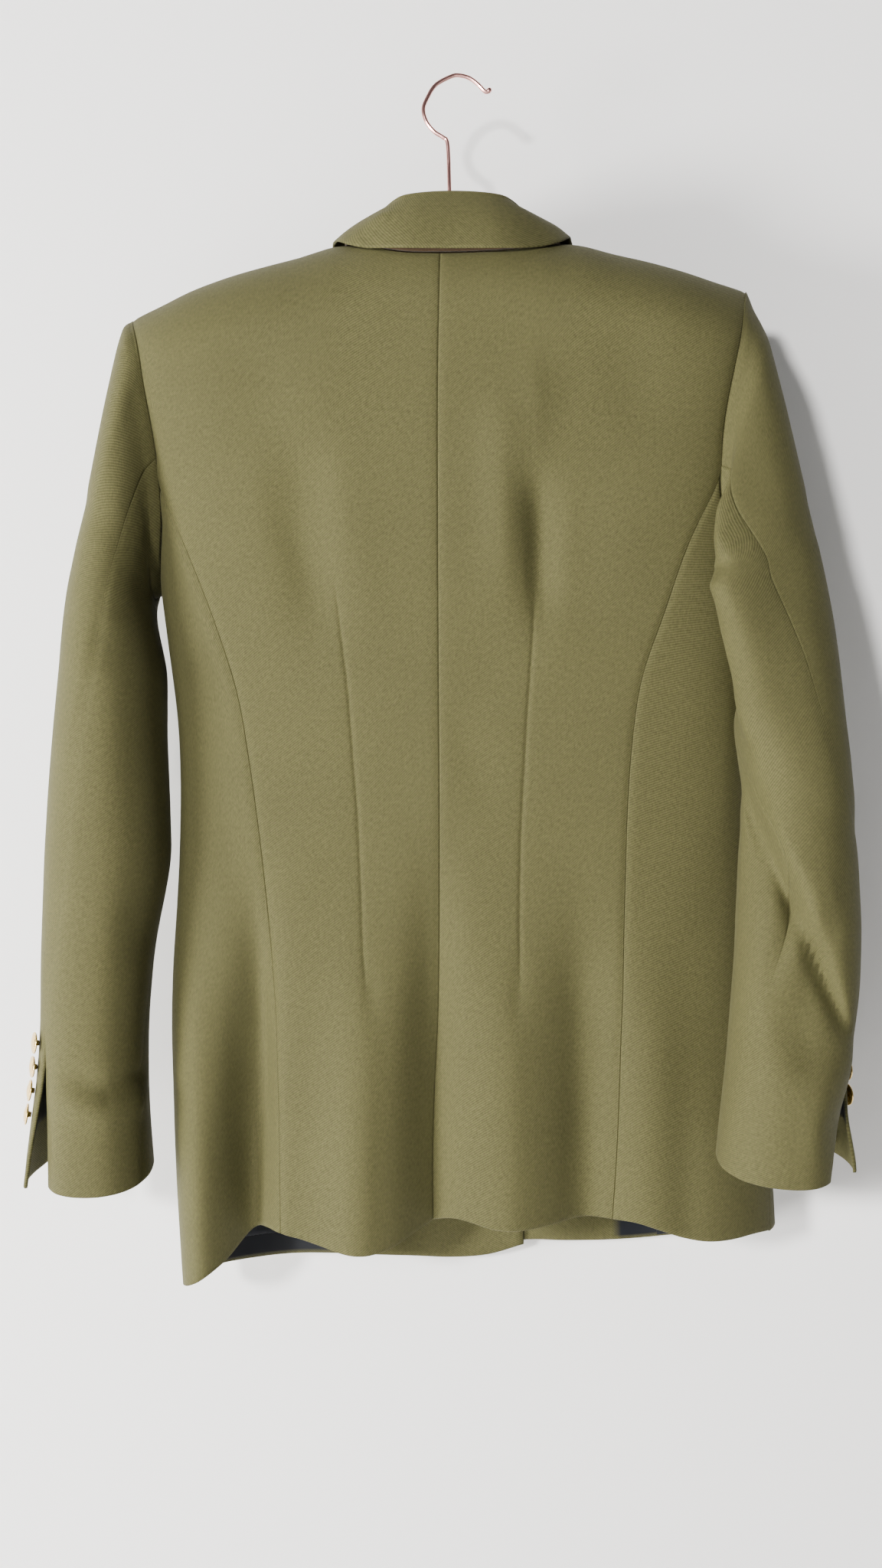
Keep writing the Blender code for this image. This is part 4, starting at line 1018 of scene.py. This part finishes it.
def grown(wires, shade, factor):
    """A shade made lighter or darker by a factor."""
    made = wires.node("ShaderNodeMix", data_type="RGBA", blend_type="MULTIPLY")
    grey = wires.node("ShaderNodeCombineColor", {0: factor, 1: factor, 2: factor})
    for key, source in ((0, 1.0), (6, shade), (7, grey.outputs[0])):
        wires.set(made.inputs[key], source)
    return made.outputs[2]


def rgba(shade):
    """A shade with full cover."""
    return (*shade, 1.0)


# ---------------------------------------------------------------- materials


def twill_material():
    """Olive wool twill, with satin lining wherever the lined attribute says so."""
    known = bpy.data.materials.get("wool_twill")
    if known:
        return known
    cloth = settings("cloth")
    made, shader, wires = material("wool_twill", {
        "Sheen Weight": 0.03, "Sheen Roughness": 0.4, "Specular IOR Level": 0.22,
        "Sheen Tint": (0.80, 0.76, 0.52, 1.0)})
    place, plan = wires.place(), wires.plan()
    weave = use(wires, "twill_weave", twill_weave_group, {"Cloth": plan, "Rib": cloth.rib})
    slow = patches(wires, place, 0.09, 0.24)
    fine = patches(wires, plan, 0.0026, 0.75)
    factor = wires.math("MULTIPLY", slow, fine)
    flecks = patches(wires, plan, 0.0019, 3.2)
    brown = wires.math("SUBTRACT", flecks, 0.75, True)
    wool = wires.mix(weave.outputs["Tone"], rgba(cloth.twill), rgba(cloth.twill_light))
    tinted = wires.mix(brown, grown(wires, wool, factor), rgba(cloth.fleck))
    wool = wires.mix(0.24, grown(wires, wool, factor), tinted)
    lined = wires.node("ShaderNodeAttribute", attribute_name="lined").outputs["Fac"]
    shade = wires.mix(lined, wool, rgba(cloth.lining))
    wires.set(shader.inputs["Base Color"], shade)
    rough = wires.spread(weave.outputs["Tone"], 0.0, 1.0, 0.88, 0.74)
    wires.set(shader.inputs["Roughness"], wires.blend(lined, rough, 0.34))
    ribbed = wires.spread(lined, 0.0, 1.0, 1.0, 0.15)
    relief = wires.math("MULTIPLY", weave.outputs["Height"], ribbed)
    bumped(wires, shader, relief, 0.16 * MM, 0.75)
    return made


def satin_material():
    """Black satin with fine threads that run down."""
    cloth = settings("cloth")
    made, shader, wires = material("lining_satin", {"Specular IOR Level": 0.12,
                                                    "Sheen Weight": 0.0})
    plan = wires.plan()
    threads = wires.noise(wires.scaled(plan, (2600.0, 120.0, 1.0)), 1.0, 2.0)
    slow = patches(wires, plan, 0.03, 0.5)
    wires.set(shader.inputs["Base Color"], grown(wires, rgba(cloth.lining), slow))
    wires.set(shader.inputs["Roughness"], wires.spread(threads, 0.3, 0.7, 0.26, 0.40))
    bumped(wires, shader, threads, 0.05 * MM, 0.5)
    return made


def stand_painted_shadow_material():
    """Felt-like cloth for the collar's stand, coloured dark brown as painted shade: the shadow
    that the collar's fall casts on the stand.
    """
    cloth = settings("cloth")
    made, shader, wires = material("undercollar_felt", {"Specular IOR Level": 0.15,
                                                        "Sheen Weight": 0.15})
    plan = wires.plan()
    fibres = wires.noise(wires.scaled(plan, (700.0, 1100.0, 1.0)), 1.0, 5.0, 0.7)
    slow = patches(wires, plan, 0.02, 0.3)
    shade = wires.spread(fibres, 0.25, 0.75, 0.8, 1.25)
    shade = wires.math("MULTIPLY", shade, slow)
    wires.set(shader.inputs["Base Color"], grown(wires, rgba(cloth.undercollar), shade))
    wires.set(shader.inputs["Roughness"], wires.spread(fibres, 0.2, 0.8, 0.97, 0.86))
    bumped(wires, shader, fibres, 0.25 * MM, 0.6)
    return made


def metal_material(name, shade, rough, fineness):
    """A plated metal: fine brushed lines and worn patches."""
    made, shader, wires = material(name, {"Metallic": 1.0})
    place = wires.place()
    lines = use(wires, "scratches", scratches_group, {"Place": place, "Fineness": fineness})
    slow = patches(wires, place, 0.004, 0.35)
    wires.set(shader.inputs["Base Color"], grown(wires, rgba(shade), slow))
    rough_value = wires.spread(lines.outputs[0], 0.3, 0.7, rough * 0.75, rough * 1.35)
    wires.set(shader.inputs["Roughness"], rough_value)
    bumped(wires, shader, lines.outputs[0], 0.02 * MM, 0.4)
    return made


def hanger_material():
    """Flocked hanger body: a short even nap."""
    made, shader, wires = material("hanger_flock", {"Specular IOR Level": 0.2,
                                                    "Sheen Weight": 0.3})
    place = wires.place()
    nap = wires.noise(place, 1800.0, 3.0, 0.6)
    slow = patches(wires, place, 0.03, 0.3)
    shade = wires.math("MULTIPLY", wires.spread(nap, 0.3, 0.7, 0.8, 1.2), slow)
    hanger = settings("metal").hanger
    wires.set(shader.inputs["Base Color"], grown(wires, rgba(hanger), shade))
    wires.set(shader.inputs["Roughness"], wires.spread(nap, 0.3, 0.7, 0.9, 0.78))
    bumped(wires, shader, nap, 0.1 * MM, 0.5)
    return made


# ---------------------------------------------------------------- buttons

# A button's profile from its axis outwards: radius and height as shares of its radius.
BUTTON_PROFILE = ((0, 0), (0.24, 0), (0.26, 0.10), (0.27, 0.22), (0.34, 0.29), (0.62, 0.31),
                  (0.88, 0.335), (0.955, 0.36), (0.99, 0.41), (1.0, 0.445), (0.985, 0.485),
                  (0.945, 0.515), (0.905, 0.512), (0.875, 0.488), (0.855, 0.478),
                  (0.83, 0.492), (0.74, 0.555), (0.6, 0.612), (0.42, 0.662), (0.22, 0.695),
                  (0.08, 0.706), (0, 0.708))
BUTTON_TURNS = 56
CUFF_RADIUS, FRONT_RADIUS = 7.5 * MM, 11.0 * MM


def button_place(node):
    """Where a button's solid stands: the middle of its foot and its axis."""
    points = np.array([v.co for v in frame["nodes"][node].data.vertices])
    points = np.unique(points.round(7), axis=0)
    middle = points.mean(0)
    spread, axes = np.linalg.eigh(np.cov((points - middle).T))
    axis = axes[:, 0]
    along = (points - middle) @ axis
    reach = np.linalg.norm(points - middle - along[:, None] * axis, axis=1)
    wide = along[reach > 0.9 * reach.max()].mean()
    if wide < (along.max() + along.min()) / 2:
        axis, along = -axis, -along
    # the rim lies above the middle of the button's height
    return middle + axis * along.min(), axis


def lathe(name, radius):
    """A button turned from its profile, about its own Z axis."""
    turn = np.arange(BUTTON_TURNS) / BUTTON_TURNS * 2 * math.pi
    ring = np.stack([np.cos(turn), np.sin(turn)], axis=-1)
    inner = [np.column_stack([ring * r * radius, np.full(BUTTON_TURNS, h * radius)])
             for r, h in BUTTON_PROFILE[1:-1]]
    points = [(0, 0, BUTTON_PROFILE[0][1] * radius), *np.concatenate(inner).tolist(),
              (0, 0, BUTTON_PROFILE[-1][1] * radius)]
    last, rings = len(points) - 1, len(inner)
    faces = []
    for j in range(BUTTON_TURNS):
        k = (j + 1) % BUTTON_TURNS
        faces.append((0, 1 + k, 1 + j))
        for i in range(rings - 1):
            a, b = 1 + i * BUTTON_TURNS, 1 + (i + 1) * BUTTON_TURNS
            faces.append((a + j, a + k, b + k, b + j))
        top = 1 + (rings - 1) * BUTTON_TURNS
        faces.append((top + j, top + k, last))
    mesh = bpy.data.meshes.new(name)
    mesh.from_pydata(points, [], faces)
    mesh.shade_smooth()
    return linked(name, mesh)


def geometry_tree(name, sockets):
    """A Geometry Nodes tree with named inputs, its two ends and its wires."""
    tree = bpy.data.node_groups.new(name, "GeometryNodeTree")
    tree.interface.new_socket("Geometry", in_out="INPUT", socket_type="NodeSocketGeometry")
    for label, kind in sockets:
        tree.interface.new_socket(label, in_out="INPUT", socket_type=kind)
    tree.interface.new_socket("Geometry", in_out="OUTPUT", socket_type="NodeSocketGeometry")
    start, end = tree.nodes.new("NodeGroupInput"), tree.nodes.new("NodeGroupOutput")
    return tree, start, end, Wires(tree)


def made_by(tree, name, holder, values):
    """The plain mesh that a tree makes of an object, which it then takes the place of."""
    modifier = holder.modifiers.new(tree.name, "NODES")
    modifier.node_group = tree
    for item in tree.interface.items_tree:
        if item.item_type == "SOCKET" and item.in_out == "INPUT" and item.name in values:
            modifier[item.identifier] = values[item.name]
    graph = bpy.context.evaluated_depsgraph_get()
    graph.update()
    plain = bpy.data.meshes.new_from_object(holder.evaluated_get(graph))
    plain.name = name
    bpy.data.objects.remove(holder)
    return linked(name, plain)


def repeat_tree():
    """One shape on each point of a mesh, its Z along the point's axis, its X along its run."""
    tree, start, end, wires = geometry_tree("repeat_on_points", (
        ("Shape", "NodeSocketObject"), ("Size", "NodeSocketFloat"),
        ("Finish", "NodeSocketMaterial")))
    shape = wires.node("GeometryNodeObjectInfo", {"Object": start.outputs["Shape"]})
    axis = wires.node("GeometryNodeInputNamedAttribute", {"Name": "axis"},
                      data_type="FLOAT_VECTOR")
    run = wires.node("GeometryNodeInputNamedAttribute", {"Name": "run"},
                     data_type="FLOAT_VECTOR")
    turn = wires.node("FunctionNodeAxesToRotation", {0: axis.outputs[0], 1: run.outputs[0]},
                      primary_axis="Z", secondary_axis="X")
    size = wires.node("ShaderNodeCombineXYZ", {0: start.outputs["Size"],
                                               1: start.outputs["Size"],
                                               2: start.outputs["Size"]})
    points = wires.node("GeometryNodeMeshToPoints", {"Mesh": start.outputs["Geometry"]})
    placed = wires.node("GeometryNodeInstanceOnPoints", {
        "Points": points.outputs[0], "Instance": shape.outputs["Geometry"],
        "Rotation": turn.outputs[0], "Scale": size.outputs[0]})
    real = wires.node("GeometryNodeRealizeInstances", {0: placed.outputs[0]})
    done = wires.node("GeometryNodeSetMaterial", {"Geometry": real.outputs[0],
                                                  "Material": start.outputs["Finish"]})
    wires.set(end.inputs[0], done.outputs[0])
    return tree


def repeated(name, shape, places, axes, runs, finish, size=1.0):
    """One shape repeated at the places, as one plain mesh."""
    mesh = bpy.data.meshes.new(name + "_points")
    mesh.from_pydata([tuple(map(float, p)) for p in places], [], [])
    for label, values in (("axis", axes), ("run", runs)):
        attribute = mesh.attributes.new(label, "FLOAT_VECTOR", "POINT")
        attribute.data.foreach_set("vector", np.asarray(values, np.float32).reshape(-1))
    tree = bpy.data.node_groups.get("repeat_on_points") or repeat_tree()
    return made_by(tree, name, linked(name + "_points", mesh),
                   {"Shape": shape, "Size": size, "Finish": finish})


class ButtonPieces(bpy.types.Operator):
    """Makes the domed buttons of the cuffs and of the front edge"""

    bl_idname = "blazer.buttons"
    bl_label = "Buttons"

    def execute(self, context):
        gold = metal_material("button_gold", settings("metal").gold, 0.22, 1400.0)
        sets = [(f"cuff_buttons_{side}", [f"cuff_button_{side}_{n}" for n in range(1, 5)],
                 CUFF_RADIUS) for side in ("left", "right")]
        sets.append(("front_buttons", ["front_button_1", "front_button_2"], FRONT_RADIUS))
        for name, nodes, radius in sets:
            shape = lathe(name + "_shape", radius)
            places, axes = zip(*(button_place(node) for node in nodes))
            piece = repeated("blazer_" + name, shape, places, axes, [UP] * len(nodes), gold)
            bpy.data.objects.remove(shape)
            stands_for(piece, "gold", *nodes)
        return {"FINISHED"}


# ---------------------------------------------------------------- hanger

# The hook's line, as x and z in mm from its free end to the hanger's body.
HOOK_LINE = ((26.8, -7.3), (22.9, -9.6), (17.1, -4.1), (11, 0.3), (3.9, 2.2), (-2.2, 1.4),
             (-13.2, -4.7), (-19.3, -14.1), (-22.1, -22.3), (-19.9, -31.2), (-14.3, -38.3),
             (-8.3, -42.2), (-5, -45.5), (-3.9, -58.2), (-3.3, -78.9), (-3.2, -116.4))
WIRE_SIDES = 20
# How thick the wire is at its first points, as a share: its free end is a small ball.
HOOK_BALL = ((0, 0.45), (0.08, 0.85), (0.2, 1.15), (0.4, 1.26), (0.58, 1.18), (0.75, 1.04),
             (0.95, 1.0), (16, 1.0))


def wire_tree():
    """A round wire along a line, as thick as each point's radius says."""
    tree, start, end, wires = geometry_tree("wire_on_line", (
        ("Sides", "NodeSocketInt"), ("Finish", "NodeSocketMaterial")))
    line = wires.node("GeometryNodeMeshToCurve", {"Mesh": start.outputs["Geometry"]})
    thick = wires.node("GeometryNodeInputNamedAttribute", {"Name": "thick"}, data_type="FLOAT")
    ring = wires.node("GeometryNodeCurvePrimitiveCircle", {"Resolution": start.outputs["Sides"],
                                                           "Radius": 1.0})
    swept = wires.node("GeometryNodeCurveToMesh", {"Curve": line.outputs[0],
                                                   "Profile Curve": ring.outputs[0],
                                                   "Scale": thick.outputs[0],
                                                   "Fill Caps": True})
    smooth = wires.node("GeometryNodeSetShadeSmooth", {"Geometry": swept.outputs[0]})
    done = wires.node("GeometryNodeSetMaterial", {"Geometry": smooth.outputs[0],
                                                  "Material": start.outputs["Finish"]})
    wires.set(end.inputs[0], done.outputs[0])
    return tree


class HangerPieces(bpy.types.Operator):
    """Makes the wire hook smooth and gives the hanger's body its finish"""

    bl_idname = "blazer.hanger"
    bl_label = "Hanger"

    def execute(self, context):
        metal = settings("metal")
        copper = metal_material("hook_copper", metal.copper, 0.2, 900.0)
        # finely at the ball, evenly round the bends, and only at its points down the shank
        at = np.concatenate([np.linspace(0, 1, 12)[:-1], np.arange(1, 13, 0.125), [13, 14, 15]])
        flat = spline_weights(len(HOOK_LINE), at) @ np.array(HOOK_LINE) * MM
        mesh = bpy.data.meshes.new("hook_line")
        points = [(x, 0.0, z) for x, z in flat]
        mesh.from_pydata(points, [(i, i + 1) for i in range(len(points) - 1)], [])
        thick = np.interp(at, *zip(*HOOK_BALL)) * metal.wire / 2
        attribute = mesh.attributes.new("thick", "FLOAT", "POINT")
        attribute.data.foreach_set("value", thick.astype(np.float32))
        piece = made_by(wire_tree(), "blazer_hanger_hook", linked("hook_line", mesh),
                        {"Sides": WIRE_SIDES, "Finish": copper})
        stands_for(piece, "copper", "hanger_hook")
        body = frame["nodes"]["hanger_body"]
        body.material_slots[0].material = hanger_material()
        return {"FINISHED"}


# ---------------------------------------------------------------- stage

WALL_PLANE = 82 * MM
FLOOR = -1.45
CAMERA = (-9.38 * MM, -1.2, -508.86 * MM)
LENS, SENSOR = 38.2, 36.0
ROOM = (3.0, 2.6, 1.6)  # m: half the wall's width, half the floor's depth, the wall's top


def plane(name, corners, shade):
    mesh = bpy.data.meshes.new(name)
    mesh.from_pydata(corners, [], [(0, 1, 2, 3)])
    mesh.materials.append(shade)
    linked(name, mesh)


def wall_material(name, clear_back):
    """Painted plaster; the wall is clear to an eye that looks from behind it."""
    made, shader, wires = material(name, {"Roughness": 0.9, "Specular IOR Level": 0.2})
    place = wires.place()
    slow = patches(wires, place, 0.8, 0.06)
    wires.set(shader.inputs["Base Color"], grown(wires, rgba(settings("stage").wall),
                                                 slow))
    bumped(wires, shader, wires.noise(place, 160.0, 3.0), 0.3 * MM, 0.15)
    if clear_back:
        side = wires.node("ShaderNodeNewGeometry").outputs["Backfacing"]
        clear = wires.node("ShaderNodeBsdfTransparent").outputs[0]
        both = wires.node("ShaderNodeMixShader", {0: side, 1: shader.outputs[0], 2: clear})
        out = made.node_tree.nodes["Material Output"]
        wires.set(out.inputs["Surface"], both.outputs[0])
    return made


def light(name, place, aim, size, power, tint=(1, 1, 1), tall=None):
    """A soft round or oval light that looks at its aim."""
    lamp = bpy.data.lights.new(name, "AREA")
    lamp.shape, lamp.size, lamp.size_y = "ELLIPSE", size, tall or size
    lamp.energy, lamp.color = power, tint
    holder = linked(name, lamp)
    holder.location = place
    holder.rotation_euler = (Vector(place) - Vector(aim)).to_track_quat("Z", "Y").to_euler()


class Stage(bpy.types.Operator):
    """Sets the wall, floor, lights and camera round the blazer"""

    bl_idname = "blazer.stage"
    bl_label = "Wall, floor, lights and camera"

    def execute(self, context):
        stage = settings("stage")
        side, depth, top = ROOM
        plane("stage_wall", [(-side, WALL_PLANE, FLOOR), (side, WALL_PLANE, FLOOR),
                             (side, WALL_PLANE, top), (-side, WALL_PLANE, top)],
              wall_material("wall_paint", True))
        plane("stage_floor", [(-side, -depth, FLOOR), (side, -depth, FLOOR),
                              (side, depth, FLOOR), (-side, depth, FLOOR)],
              wall_material("floor_paint", False))
        middle = (0, 0, -0.45)
        light("key", (-1.3, -3.2, 0.1), middle, 0.35, stage.key, (1.0, 0.985, 0.97))
        light("side", (-2.6, -1.6, -0.9), middle, 0.9, stage.side, (1.0, 0.985, 0.96))
        # hidden behind the blazer, for views that look at its front
        light("front", (0, WALL_PLANE - MM, -0.46), (0, -1, -0.46), 0.36, stage.front, tall=0.74)
        world = bpy.data.worlds.new("room")
        world.use_nodes = True
        sky = world.node_tree.nodes["Background"]
        sky.inputs["Color"].default_value = (0.94, 0.96, 1.0, 1.0)
        sky.inputs["Strength"].default_value = stage.sky
        context.scene.world = world
        lens = bpy.data.cameras.new("camera")
        lens.sensor_fit, lens.sensor_height, lens.lens = "VERTICAL", SENSOR, LENS
        camera = linked("camera", lens)
        camera.location = CAMERA
        camera.rotation_euler = (math.radians(90), 0, 0)
        context.scene.camera = camera
        return {"FINISHED"}


# ---------------------------------------------------------------- the sidebar and the run

STEPS = (BodyPieces, SleevePieces, CollarPieces, LiningPieces, ButtonPieces, HangerPieces, Stage)
GROUPS = {"cloth": ClothSettings, "metal": MetalSettings, "stage": StageSettings}


class BlazerPanel(bpy.types.Panel):
    """Lists the blazer's settings and the steps that make it"""

    bl_idname = "BLAZER_PT_panel"
    bl_label = "Blazer"
    bl_space_type = "VIEW_3D"
    bl_region_type = "UI"
    bl_category = "Blazer"

    def draw(self, context):
        for name, kind in GROUPS.items():
            box = self.layout.box()
            for key in kind.__annotations__:
                box.prop(settings(name), key)
        for step in STEPS:
            self.layout.operator(step.bl_idname)


CLASSES = (*GROUPS.values(), *STEPS, BlazerPanel)


def register():
    for kind in CLASSES:
        bpy.utils.register_class(kind)
    for name, kind in GROUPS.items():
        setattr(bpy.types.Scene, "blazer_" + name, bpy.props.PointerProperty(type=kind))


def unregister():
    for name in GROUPS:
        delattr(bpy.types.Scene, "blazer_" + name)
    for kind in reversed(CLASSES):
        bpy.utils.unregister_class(kind)


def main():
    register()
    for step in STEPS:
        category, call = step.bl_idname.split(".")
        getattr(getattr(bpy.ops, category), call)()


if __name__ == "__main__":
    main()
